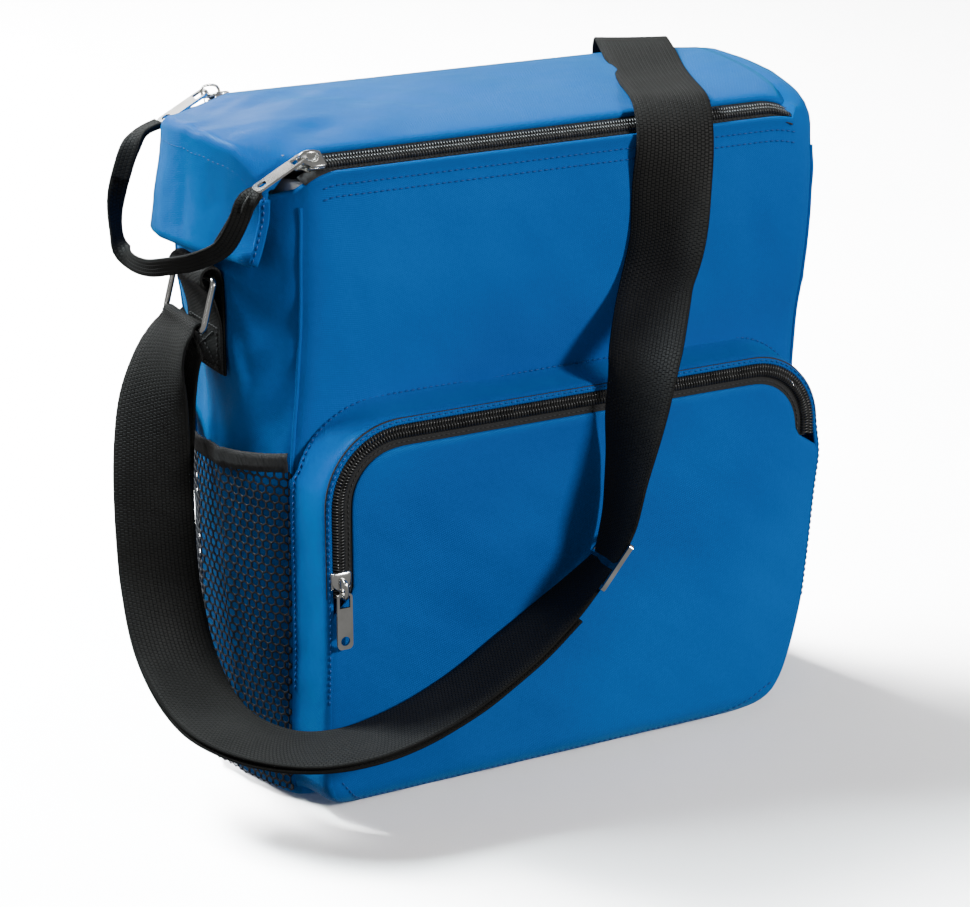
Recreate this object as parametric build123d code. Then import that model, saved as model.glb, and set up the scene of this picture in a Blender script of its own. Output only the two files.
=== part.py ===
from build123d import *
import math
import os

# Insulated cooler bag. Origin at the bottom centre of the bag, +Z up, +X to the bag's right
# as seen from the front, front panel facing -Y. Millimetres.

# Driving dimensions
width = 280.0  # main body, corner to corner
depth = 114.0  # main body, front panel to back panel
side_bulge = 18.0  # how far each filled side stands out at its middle
zip_height_front = 311.5  # middle of the front top zip above the floor
zip_height_rear = 320.5  # the filled lid rises towards the back
fabric = 1.2  # coated polyester with its binding
foam = 5.0
liner = 0.8
webbing_width = 40.0
webbing = 1.6
zip_inset = 5.0  # top zips, inside the front and back faces
zip_tilt = 30.0  # top zips face outwards and up by this angle
pocket_depth = 26.0
pocket_top = 196.0
pocket_corner = 40.0
pocket_shift = -3.0  # the pocket sits a little left of the middle
pocket_zip_left_end = 112.0
pocket_zip_right_end = 150.0
mesh_top = 166.0
mesh_stand_off = 8.5
hem_height = 8.5
wire = 3.0  # strap ring wire
ring_inner_width = 42.0
ring_inner_height = 22.0
ring_lean = 15.0
ring_bar = Vector(-165.0, 3.0, 254.0)  # middle of the left ring's top bar
right_turn = 13.0  # the right ring sits behind the middle of its side by this angle
air = 0.35  # running clearance

half_width = width / 2
half_depth = depth / 2
side_radius = (half_depth**2 + side_bulge**2) / (2 * side_bulge)
side_centre = half_width + side_bulge - side_radius
zip_y = half_depth - zip_inset
lid_angle = math.degrees(math.atan2(zip_height_rear - zip_height_front, 2 * zip_y))
lid_middle_height = (zip_height_front + zip_height_rear) / 2
lid_frame = Location((0, 0, lid_middle_height), (lid_angle, 0, 0))
flat_zip_y = zip_y / math.cos(math.radians(lid_angle))

tape = 0.8
coil_gap = 0.7
coil_outer = 3.0
coil_top = 2.6
tape_outer = 7.2
zip_left = -125.0
zip_right = 126.0
lid_top = 5.0
lid_half_depth = flat_zip_y - tape_outer * math.cos(math.radians(zip_tilt)) - 0.3
hinge_x = 131.0
wall_top = -4.6  # top of the side walls under the lid, in the lid frame
flap_bottom = 262.0
tall = 400.0

nodes = {}


def box(x0, x1, y0, y1, z0, z1):
    """A plain block between two corners."""
    middle = ((x0 + x1) / 2, (y0 + y1) / 2, (z0 + z1) / 2)
    return Location(middle) * Box(x1 - x0, y1 - y0, z1 - z0)


def plan(inset):
    """The body's outline seen from above: straight front and back, bulging sides."""
    radius = side_radius - inset
    y = half_depth - inset
    x = side_centre + math.sqrt(radius**2 - y**2)
    far = side_centre + radius
    edges = [
        Line((-x, -y), (x, -y)),
        ThreePointArc((x, -y), (far, 0), (x, y)),
        Line((x, y), (-x, y)),
        ThreePointArc((-x, y), (-far, 0), (-x, -y)),
    ]
    return make_face(edges)


def wall(inset, thickness, z0, z1):
    """A ring that follows the body's outline."""
    outer = extrude(plan(inset), z1 - z0)
    inner = extrude(plan(inset + thickness), z1 - z0)
    return Location((0, 0, z0)) * (outer - inner)


def under_lid(shape, level):
    """Cuts a shape off at a level of the tilted lid frame."""
    return shape - lid_frame * box(-tall, tall, -tall, tall, level, level + tall)


def four_walls(prefix, inset, thickness, z0, level):
    """Front, back, left and right panels cut from one ring, meeting at the corners."""
    ring = under_lid(wall(inset, thickness, z0, tall), level)
    y = half_depth - inset - thickness
    parts = {
        "front": box(-tall, tall, -tall, -y, -1, tall),
        "back": box(-tall, tall, y, tall, -1, tall),
        "left": box(-tall, 0, -y, y, -1, tall),
        "right": box(0, tall, -y, y, -1, tall),
    }
    for side, region in parts.items():
        nodes[f"{prefix}_{side}"] = ring & region


def body():
    """Outer shell, foam and liner of the main compartment."""
    nodes["outer_base"] = extrude(plan(0), fabric)
    four_walls("outer", 0, fabric, fabric, wall_top)
    base_foam = extrude(plan(fabric), foam)
    nodes["foam_base"] = Location((0, 0, fabric)) * base_foam
    four_walls("foam", fabric, foam, fabric + foam, wall_top - 4.0)
    inset = fabric + foam
    tub = wall(inset, liner, inset, tall)
    floor = Location((0, 0, inset)) * extrude(plan(inset + liner), liner)
    nodes["liner_tub"] = under_lid(tub + floor, wall_top - 4.0)


def lid():
    """Lid between the two top zips, its end flap, and the fixed strip that it folds on."""
    edge = lid_half_depth
    over = -0.6  # the lid's left end overhangs the side wall
    span = box(-tall, hinge_x, -edge, edge, lid_top - fabric, lid_top)
    footprint = Location((0, 0, -tall / 2)) * extrude(plan(over), tall)
    nodes["lid_panel"] = lid_frame * (span & footprint)
    foam_top = lid_top - fabric
    pad = box(-tall, hinge_x - 2, -edge + 1, edge - 1, foam_top - foam, foam_top)
    inside = Location((0, 0, -tall / 2)) * extrude(plan(2.0), tall)
    nodes["lid_foam"] = lid_frame * (pad & inside)
    low = foam_top - foam
    sheet = box(-tall, hinge_x - 2, -edge + 1, edge - 1, low - liner, low)
    nodes["lid_liner"] = lid_frame * (sheet & inside)
    flap = wall(over - fabric - 0.1, fabric, flap_bottom, tall)
    flap = flap & box(-tall, -100, -edge + 1, edge - 1, 0, tall)
    nodes["lid_end_flap"] = under_lid(flap, lid_top)
    cover = Location((0, 0, -tall / 2)) * extrude(plan(0), tall)
    strip = box(hinge_x + air, tall, -half_depth, half_depth, wall_top, lid_top)
    hollow = Location((0, 0, -tall / 2)) * extrude(plan(fabric), tall)
    core = box(hinge_x - 1, tall, -tall, tall, wall_top - 1, lid_top - fabric)
    nodes["lid_hinge_strip"] = lid_frame * ((strip & cover) - (core & hollow))


def zip_half(side, near, far, low, high, x0, x1):
    """A bar along one top zip, from its cross-section. side is -1 at the front and 1 at
    the rear. near and far are measured from the zip's middle towards the lid."""
    bar = box(x0, x1, near, far, low, high)
    if side > 0:
        bar = mirror(bar, about=Plane.XZ)
    turned = Location((0, side * flat_zip_y, 0), (-side * zip_tilt, 0, 0)) * bar
    return lid_frame * turned


def top_zip(name, side):
    """Tape and coil of one top zip, the body's half and the lid's half."""
    half = tape / 2
    tape_end = hinge_x - 1
    nodes[f"{name}_zip_tape_body"] = zip_half(
        side, -tape_outer, -coil_gap, -half, half, zip_left, tape_end
    )
    nodes[f"{name}_zip_tape_lid"] = zip_half(
        side, coil_gap, tape_outer, -half, half, zip_left, tape_end
    )
    nodes[f"{name}_zip_coil_body"] = zip_half(
        side, -coil_outer, -coil_gap, half, coil_top, zip_left, zip_right
    )
    nodes[f"{name}_zip_coil_lid"] = zip_half(
        side, coil_gap, coil_outer, half, coil_top, zip_left, zip_right
    )


slider_length = 13.0
slider_half_width = 5.0
plate = 1.5
bail_gap = 3.8
bail_wall = 1.2
bail_half_width = 1.2
nose = 4.0  # the slider narrows under its pull tab
pivot_from_end = 2.6
tab_length = 28.0
tab_width = 8.0
tab_thickness = 1.2
tab_hole = 4.6


def slider_shape():
    """A zip slider lying along X, its channel open for the tape and both coils. The post
    that parts the coils is at its left end, and the bail over it holds the pull tab."""
    length = slider_length
    top = coil_top + air
    half = slider_half_width
    arm = bail_half_width
    body_top = box(nose, length, -half, half, top, top + plate)
    body_top += box(0, nose, -arm, arm, top, top + plate)
    lip = box(nose, length, -half, -coil_outer - 2 * air, 1.2, top)
    body_top += lip + mirror(lip, about=Plane.XZ)
    low = -tape / 2 - air
    body_low = box(0, length, -half + 0.6, half - 0.6, low - plate, low)
    post_half = coil_gap - air
    post = box(0, 2.4, -post_half, post_half, low, top)
    beam_low = top + plate + bail_gap
    foot = box(0, 1.2, -arm, arm, top + plate, beam_low)
    far_foot = Location((9.0, 0, 0)) * foot
    beam = box(0, 10.2, -arm, arm, beam_low, beam_low + bail_wall)
    return body_top + body_low + post + foot + far_foot + beam


tab_pivot_height = coil_top + air + plate + bail_gap / 2


def pull_tab_shape():
    """A pull tab lying along -X from its pivot at the origin: the bar in the bail, a
    rectangular window, the blade and a round hole at the free end."""
    bar = 0.7
    middle = bar - tab_length / 2
    blade = Location((middle, 0, 0)) * Box(tab_length, tab_width, tab_thickness)
    blade = fillet(blade.edges().filter_by(Axis.Z), 2.4)
    window = Location((-bar - 2.9, 0, 0)) * Box(5.8, 5.4, 3)
    hole = Location((bar - tab_length + 4.2, 0, 0)) * Cylinder(tab_hole / 2, 3)
    return blade - window - hole


def place_top_slider(name, side):
    """Puts a slider on a top zip, its left end just left of the coils."""
    slider = slider_shape()
    if side > 0:
        slider = mirror(slider, about=Plane.XZ)
    turn = Location((slider_left, side * flat_zip_y, 0), (-side * zip_tilt, 0, 0))
    nodes[name] = lid_frame * turn * slider


slider_left = zip_left - slider_length + 0.5
pull_pivot_x = slider_left + pivot_from_end
pull_droop = 29.0


def top_pulls():
    """The two top sliders, their pull tabs, and the webbing loop that joins the tabs."""
    place_top_slider("front_slider", -1)
    place_top_slider("rear_slider", 1)
    lean = math.radians(zip_tilt)
    y = flat_zip_y + tab_pivot_height * math.sin(lean)
    z = tab_pivot_height * math.cos(lean)
    for name, side in (("front_pull_tab", -1), ("rear_pull_tab", 1)):
        turn = Location((pull_pivot_x, side * y, z), (0, -pull_droop, 0))
        nodes[name] = lid_frame * turn * pull_tab_shape()
    sections = [(Vector(*middle), Vector(*wide)) for middle, wide in pull_route]
    nodes["zip_pull_webbing"] = ribbon(sections, 10.0, 1.4)


# The pull loop, from the front tab's end down and out round the left side to the rear tab.
pull_route = [
    ((-163.0, -52.0, 298.5), (-0.2, 0, 1)),
    ((-164.5, -48.0, 287.0), (-0.6, 0, 0.8)),
    ((-167.5, -36.0, 273.5), (-0.6, 0, 0.8)),
    ((-174.5, -20.0, 264.5), (-0.5, 0, 0.85)),
    ((-180.5, -3.0, 259.0), (-0.4, 0, 0.9)),
    ((-185.0, 13.0, 255.0), (-0.3, 0.2, 0.9)),
    ((-187.5, 29.0, 255.5), (0, 0.5, 0.85)),
    ((-188.5, 40.0, 262.5), (0.5, 0.6, 0.4)),
    ((-187.0, 46.5, 275.0), (0.85, 0.3, 0)),
    ((-182.0, 49.0, 289.0), (0.88, -0.3, 0)),
    ((-176.5, 51.0, 302.5), (0.8, -0.48, 0)),
    ((-168.0, 52.0, 311.0), (0.4, -0.7, 0.3)),
]


def ribbon(sections, wide, thick):
    """A flat strap through the given middles and width directions, as one closed solid."""
    wires = []
    last = len(sections) - 1
    for i, (middle, across) in enumerate(sections):
        ahead = sections[min(i + 1, last)][0] - sections[max(i - 1, 0)][0]
        normal = ahead.cross(across).normalized()
        side = normal.cross(ahead).normalized() * (wide / 2)
        out = normal * (thick / 2)
        corners = [
            middle + side + out,
            middle - side + out,
            middle - side - out,
            middle + side - out,
        ]
        wires.append(Wire.make_polygon(corners, close=True))
    return Solid.make_loft(wires, ruled=True)


def arch(inset, bottom):
    """The front pocket's outline with round upper corners, drawn in the XZ plane."""
    x = half_width - 2.0 - inset
    top = pocket_top - inset
    radius = pocket_corner - inset
    edges = [
        Line((-x, bottom), (x, bottom)),
        Line((x, bottom), (x, top - radius)),
        RadiusArc((x, top - radius), (x - radius, top), -radius),
        Line((x - radius, top), (-x + radius, top)),
        RadiusArc((-x + radius, top), (-x, top - radius), -radius),
        Line((-x, top - radius), (-x, bottom)),
    ]
    return make_face(edges)


def arch_slab(inset, bottom, y0, y1):
    """The pocket outline extruded between two depths."""
    drawn = extrude(arch(inset, bottom), y1 - y0)
    return Location((pocket_shift, y1, 0), (90, 0, 0)) * drawn


def arch_band(inset, wide, y0, y1):
    """A band that follows the pocket outline from one zip end over the top to the other."""
    band = arch_slab(inset, 0, y0, y1) - arch_slab(inset + wide, 0, y0 - 1, y1 + 1)
    band -= box(-tall, 0, -tall, 0, -1, pocket_zip_left_end)
    band -= box(0, tall, -tall, 0, -1, pocket_zip_right_end)
    return band


pocket_front = -half_depth - pocket_depth
pocket_zip_inset = 7.2  # middle of the pocket zip, inside the pocket's outline
pocket_slider_z = pocket_zip_left_end + 1.0


def front_pocket():
    """Gusset, front panel and arched zip of the front pocket, with its slider and tab."""
    back = -half_depth - 0.1
    front = pocket_front + 2.5
    shell = arch_slab(0, 0.4, front, back)
    hollow = arch_slab(fabric, 0.4 + fabric, front - 1, back + 1)
    nodes["pocket_gusset"] = shell - hollow
    zip_y0 = pocket_front + 1.2
    zip_y1 = zip_y0 + tape
    panel = arch_slab(0, 0.4, zip_y0, zip_y0 + fabric)
    cut = arch_slab(-1, -5, zip_y0 - 3, zip_y0 + 3)
    cut -= arch_slab(2 * pocket_zip_inset, -5, zip_y0 - 4, zip_y0 + 4)
    cut -= box(-tall, 0, -tall, 0, -10, pocket_zip_left_end - 0.2)
    cut -= box(0, tall, -tall, 0, -10, pocket_zip_right_end - 0.2)
    nodes["pocket_panel"] = panel - cut
    middle = pocket_zip_inset
    inner_width = tape_outer - coil_gap - 0.2
    coil_width = coil_outer - coil_gap
    coil_y = zip_y0 - coil_top + tape / 2
    nodes["pocket_zip_tape_outer"] = arch_band(0.4, middle - coil_gap - 0.4, zip_y0, zip_y1)
    nodes["pocket_zip_tape_inner"] = arch_band(
        middle + coil_gap, inner_width, zip_y0, zip_y1
    )
    nodes["pocket_zip_coil_outer"] = arch_band(
        middle - coil_outer, coil_width, coil_y, zip_y0
    )
    nodes["pocket_zip_coil_inner"] = arch_band(
        middle + coil_gap, coil_width, coil_y, zip_y0
    )


def pocket_pull():
    """Slider at the pocket zip's lower left end and its hanging tab."""
    x = pocket_shift - half_width + 2.0 + pocket_zip_inset
    tape_middle = pocket_front + 1.2 + tape / 2
    upright = Plane(origin=(x, tape_middle, 0), x_dir=(0, 0, 1), z_dir=(0, -1, 0))
    nodes["pocket_slider"] = upright * Location((pocket_slider_z, 0, 0)) * slider_shape()
    hang = Location((pocket_slider_z + pivot_from_end, 0, tab_pivot_height))
    nodes["pocket_pull_tab"] = upright * hang * pull_tab_shape()


def mesh_pocket():
    """Elastic net pocket on the left side and its hem."""
    reach = half_depth - 3.0
    side = box(-tall, -100, -reach, reach, 3.0, mesh_top)
    inner_side = box(-tall, -99, -reach + 0.8, reach - 0.8, 3.8, mesh_top + 1)
    out = extrude(plan(-mesh_stand_off), tall)
    inside = extrude(plan(-mesh_stand_off + 0.8), tall)
    body_block = extrude(plan(-0.1), tall)
    net = (out & side) - (inside & inner_side) - body_block
    nodes["mesh_pocket"] = net
    hem = wall(-mesh_stand_off - 0.6, 1.6, mesh_top, mesh_top + hem_height)
    nodes["mesh_pocket_hem"] = hem & box(-tall, -100, -reach, reach, 0, tall)


def strap_ring():
    """Rectangular wire ring hanging from its top bar, which lies along Y at the origin."""
    a = (ring_inner_width + wire) / 2
    h = ring_inner_height + wire
    corner = 3.5
    path = [
        Line((0, -a + corner, 0), (0, a - corner, 0)),
        Line((0, a, -corner), (0, a, -h + corner)),
        Line((0, a - corner, -h), (0, -a + corner, -h)),
        Line((0, -a, -h + corner), (0, -a, -corner)),
    ]
    bend = Torus(corner, wire / 2, major_angle=90, align=None)
    ring = None
    for line in path:
        rod = Solid.make_cylinder(
            wire / 2, line.length, Plane(line @ 0, z_dir=line % 0)
        )
        ring = rod if ring is None else ring + rod
    corners = [
        (a - corner, -corner, 0),
        (-a + corner, -corner, 90),
        (-a + corner, -h + corner, 180),
        (a - corner, -h + corner, 270),
    ]
    upright = Plane(origin=(0, 0, 0), x_dir=(0, 1, 0), z_dir=(1, 0, 0))
    for y, z, angle in corners:
        ring += upright * Location((y, z, 0), (0, 0, angle)) * bend
    return ring


def chape():
    """Folded webbing tab sewn to the side below, with the ring's top bar in its fold."""
    wall_x = -half_width - side_bulge - 0.3
    bar_x = ring_bar.X
    bar_z = ring_bar.Z
    outer = wall_x - bar_x
    inner = outer - webbing
    low = 206.0
    join = 232.0
    outside = Polyline(
        (wall_x, low),
        (wall_x, bar_z),
        (bar_x, bar_z),
        (bar_x - outer, bar_z - 1),
        (wall_x - 2 * webbing - 0.2, join),
        (wall_x - 2 * webbing - 0.2, low),
        close=True,
    )
    inside = Polyline(
        (wall_x - webbing, join + 4),
        (wall_x - webbing, bar_z),
        (bar_x, bar_z),
        (bar_x - inner, bar_z - 1.2),
        (wall_x - webbing - 0.2, join + 4),
        close=True,
    )
    profile = make_face(outside) + Location((bar_x, bar_z, 0)) * Circle(outer)
    hole = make_face(inside) + Location((bar_x, bar_z, 0)) * Circle(inner)
    half = webbing_width / 2
    drawn = extrude(profile - hole, webbing_width)
    return Location((0, ring_bar.Y + half, 0), (90, 0, 0)) * drawn


def side_hardware():
    """Chape and ring on the left, and their mirror images on the right."""
    ring = Location(tuple(ring_bar), (0, ring_lean, 0)) * strap_ring()
    loop = chape()
    nodes["left_ring"] = ring
    nodes["left_chape"] = loop
    swing = Location((side_centre, 0, 0), (0, 0, right_turn)) * Location((-side_centre, 0, 0))
    nodes["right_ring"] = swing * mirror(ring, about=Plane.YZ)
    nodes["right_chape"] = swing * mirror(loop, about=Plane.YZ)


def behind(point):
    """Moves a point round the right side to where the right ring is sewn."""
    centre = Vector(side_centre, 0, 0)
    return (point - centre).rotate(Axis.Z, right_turn) + centre


ring_drop = ring_inner_height + wire
low_bar_x = ring_bar.X - ring_drop * math.sin(math.radians(ring_lean))
low_bar_z = ring_bar.Z - ring_drop * math.cos(math.radians(ring_lean))
ring_y = ring_bar.Y


def fold_over(sign):
    """Strap sections that pass over a ring's lower bar, from the inside outwards."""
    radius = wire / 2 + webbing / 2 + 0.7
    sections = []
    for angle in range(-30, 181, 30):
        turn = math.radians(angle)
        x = sign * (low_bar_x + radius * math.cos(turn))
        z = low_bar_z + radius * math.sin(turn)
        sections.append((Vector(x, ring_y, z), Vector(0, 1, 0)))
    return sections


# The strap's route from the left ring: down the left side, round the lower left corner,
# up to the adjuster, over the front and the lid, and down behind to the right ring.
# Each point has the middle of the webbing and the direction of its width.
side_route = [
    ((-177.5, 4, 224), (0.0, 1.0, 0)),
    ((-182.5, 8, 208), (-0.3, 0.95, 0)),
    ((-186.5, 9, 186), (-0.62, 0.78, 0)),
    ((-189.0, 7, 158), (-0.8, 0.6, 0)),
    ((-190.0, 4, 128), (-0.86, 0.5, 0)),
    ((-190.0, -1, 98), (-0.93, 0.36, 0)),
    ((-189.0, -14, 71), (-0.99, 0.1, 0)),
    ((-186.5, -37, 53), (-0.98, -0.2, 0)),
    ((-180.5, -62, 46), (-0.87, -0.5, 0)),
    ((-164.0, -88, 44), (-0.55, -0.83, 0)),
    ((-141.0, -104, 47), (-0.12, -0.99, 0)),
    ((-111.5, -107, 52), (0, -1, 0)),
    ((-81.5, -107, 63), (0, -1, 0)),
    ((-53.5, -107, 79), (0, -1, 0)),
    ((-28.5, -107, 96), (-0.1, -0.99, 0.05)),
]
adjuster_at = (-5.0, -107.5, 115.5)
adjuster_width = (-0.3, -0.94, 0.15)
front_route = [
    ((2.5, -107.5, 134.5), (-0.15, -0.99, 0)),
    ((6.5, -107.5, 158.5), (0.0, -1, 0)),
    ((11.0, -107.0, 185), (0.26, -0.96, 0)),
    ((18.0, -103.0, 210), (0.42, -0.91, 0)),
    ((39.0, -78.0, 236), (0.52, -0.85, 0)),
    ((48.0, -74.0, 259), (0.64, -0.77, 0)),
    ((53.0, -69.0, 285), (0.86, -0.5, 0)),
    ((55.5, -67.0, 303), (0.95, -0.3, 0)),
    ((57.0, -63.0, 316), (0.96, -0.25, 0)),
    ((61.5, -51.0, 323.0), (0.94, -0.33, 0)),
    ((73.0, -22.0, 323.5), (0.92, -0.39, 0)),
    ((86.0, 10.0, 325.0), (0.92, -0.39, 0)),
    ((100.0, 44.0, 329.5), (0.92, -0.39, 0)),
    ((106.0, 58.0, 329.0), (0.93, -0.36, 0)),
    ((111.0, 68.0, 318.0), (0.95, -0.25, 0.1)),
]
back_route = [
    ((118.0, 73.0, 296), (0.93, -0.1, 0.3)),
    ((129.0, 77.0, 264), (0.9, 0.0, 0.35)),
    ((142.0, 80.0, 234), (0.85, -0.1, 0.4)),
    ((155.0, 79.0, 209), (0.75, -0.4, 0.5)),
    ((168.0, 69.0, 193), (0.6, -0.7, 0.35)),
    ((177.0, 52.0, 189), (0.4, -0.88, 0.15)),
    ((179.5, 38.0, 201), (0.28, -0.96, 0)),
    ((175.5, 31.5, 218), (0.225, -0.974, 0)),
]


def along(route):
    """Turns plain route points into strap sections."""
    return [(Vector(*middle), Vector(*across)) for middle, across in route]


def shoulder_strap():
    """The webbing from ring to ring, its return layer, and the adjuster that joins them."""
    start = fold_over(1)
    middle = along([(adjuster_at, adjuster_width)])
    end = []
    for point, across in reversed(fold_over(-1)):
        end.append((behind(point), -across.rotate(Axis.Z, right_turn)))
    left = start + along(side_route) + middle
    route = left + along(front_route) + along(back_route) + end
    nodes["shoulder_strap"] = ribbon(route, webbing_width, webbing)
    inner = [(start[0][0] + Vector(1.5, 0, -4.4), Vector(0, 1, 0))]
    first = len(start) + 1
    for i in range(first, len(left) - 1):
        point, across = left[i]
        ahead = left[i + 1][0] - left[i - 1][0]
        normal = ahead.cross(across).normalized()
        inner.append((point + normal * layer_gap(i - first), across))
    nodes["strap_return_layer"] = ribbon(inner, webbing_width, webbing)
    length = sum((b[0] - a[0]).length for a, b in zip(route, route[1:]))
    doubled = sum((b[0] - a[0]).length for a, b in zip(inner, inner[1:]))
    print("strap length", round(length), "return layer", round(doubled))


def layer_gap(step):
    """How far the return layer stands off the strap: open at the ring, then closing."""
    return max(webbing + 1.2, 9.0 - 1.6 * step)


def adjuster():
    """Three-bar slide that shortens the strap, lying in the webbing's plane."""
    middle = Vector(*adjuster_at)
    before = Vector(*side_route[-1][0])
    after = Vector(*front_route[0][0])
    ahead = (after - before).normalized()
    normal = ahead.cross(Vector(*adjuster_width)).normalized()
    plane = Plane(origin=tuple(middle), x_dir=tuple(ahead), z_dir=tuple(normal))
    wide = webbing_width + 7.0
    frame = fillet(Box(26, wide, 2.0).edges().filter_by(Axis.Z), 2.0)
    for x in (-6.2, 6.2):
        frame -= Location((x, 0, 0)) * Box(8.4, webbing_width + 2.0, 4)
    nodes["strap_adjuster"] = plane * frame


body()
lid()
top_zip("front", -1)
top_zip("rear", 1)
top_pulls()
front_pocket()
pocket_pull()
mesh_pocket()
side_hardware()
shoulder_strap()
adjuster()

os.makedirs("parts", exist_ok=True)
for name, shape in nodes.items():
    export_step(shape, f"parts/{name}.step")
print(len(nodes), "nodes")
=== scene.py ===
import math

import bpy
from mathutils import Matrix, Vector, noise


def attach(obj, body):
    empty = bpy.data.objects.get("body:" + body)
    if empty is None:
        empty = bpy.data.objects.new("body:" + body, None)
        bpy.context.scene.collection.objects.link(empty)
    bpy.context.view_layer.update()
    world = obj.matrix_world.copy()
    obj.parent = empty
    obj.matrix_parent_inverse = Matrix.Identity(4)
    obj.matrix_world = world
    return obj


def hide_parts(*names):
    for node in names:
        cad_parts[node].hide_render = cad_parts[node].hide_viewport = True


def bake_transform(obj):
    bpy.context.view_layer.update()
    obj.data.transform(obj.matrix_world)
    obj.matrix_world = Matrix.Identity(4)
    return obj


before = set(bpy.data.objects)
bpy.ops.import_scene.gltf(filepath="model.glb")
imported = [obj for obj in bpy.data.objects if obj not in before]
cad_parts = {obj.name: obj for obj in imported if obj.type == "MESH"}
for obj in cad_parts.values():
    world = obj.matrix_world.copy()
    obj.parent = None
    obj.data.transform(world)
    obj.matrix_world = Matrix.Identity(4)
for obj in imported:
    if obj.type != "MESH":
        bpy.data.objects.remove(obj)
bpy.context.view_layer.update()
MM = 0.001

# ---------------------------------------------------------------- camera
AZIMUTH = math.radians(-28.65)
ELEVATION = math.radians(19.11)
DISTANCE = 1430.3
back = Vector(
    (
        math.sin(AZIMUTH) * math.cos(ELEVATION),
        -math.cos(AZIMUTH) * math.cos(ELEVATION),
        math.sin(ELEVATION),
    )
)
right = Vector((math.cos(AZIMUTH), math.sin(AZIMUTH), 0))
upward = back.cross(right)
eye = back * DISTANCE + Vector((0, 0, 157.1)) + right * -10.13 + upward * -19.88
lens = bpy.data.cameras.new("camera")
lens.lens = 104.9
lens.sensor_width = 36.0
lens.clip_start = 0.05
lens.clip_end = 20.0
camera = bpy.data.objects.new("camera", lens)
turn = Matrix((right, upward, back)).transposed().to_4x4()
camera.matrix_world = Matrix.Translation(eye * MM) @ turn
bpy.context.scene.collection.objects.link(camera)
bpy.context.scene.camera = camera

# ---------------------------------------------------------------- dimensions, in millimetres
HALF_WIDTH = 140.0
HALF_DEPTH = 57.0
BULGE = 18.0
SIDE_RADIUS = (HALF_DEPTH**2 + BULGE**2) / (2 * BULGE)
SIDE_CENTRE = HALF_WIDTH + BULGE - SIDE_RADIUS
LID_TILT = math.atan2(9.0, 104.0)
LID_HEIGHT = 316.0
ZIP_Y = 52.0 / math.cos(LID_TILT)
ZIP_TILT = math.radians(30.0)
HINGE_X = 131.0
ZIP_END = 130.0
POCKET_TOP = 196.0
POCKET_CORNER = 40.0
POCKET_X = 138.0
POCKET_SHIFT = -3.0
POCKET_ZIP_INSET = 7.2
POCKET_ZIP_LEFT_END = 112.0
POCKET_ZIP_RIGHT_END = 150.0
RIGHT_TURN = math.radians(13.0)
POCKET_FACE = -81.4
WEBBING = 1.6
STRAP_WIDE = 38.6
CHAPE_WIDE = 39.0
PULL_WIDE = 9.6
CORE_X = 95.0
LINER_BASE = 1.8


def lid_point(x, y, z):
    """A point of the tilted lid frame in the bag's own axes."""
    c = math.cos(LID_TILT)
    s = math.sin(LID_TILT)
    return Vector((x, y * c - z * s, LID_HEIGHT + y * s + z * c))


def smooth(t):
    t = min(max(t, 0.0), 1.0)
    return t * t * (3 - 2 * t)


def lerp(a, b, t):
    return a + (b - a) * t


def table(x, points):
    """Straight-line reading of a small table of (x, value) pairs."""
    if x <= points[0][0]:
        return points[0][1]
    for (x0, v0), (x1, v1) in zip(points, points[1:]):
        if x <= x1:
            return lerp(v0, v1, (x - x0) / (x1 - x0))
    return points[-1][1]


def wander(x, y, z, scale, seed=0.0):
    """Smooth repeatable noise from -1 to 1 with features about `scale` mm wide."""
    return noise.noise(Vector((x / scale + seed, y / scale - seed, z / scale + 2 * seed)))


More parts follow.
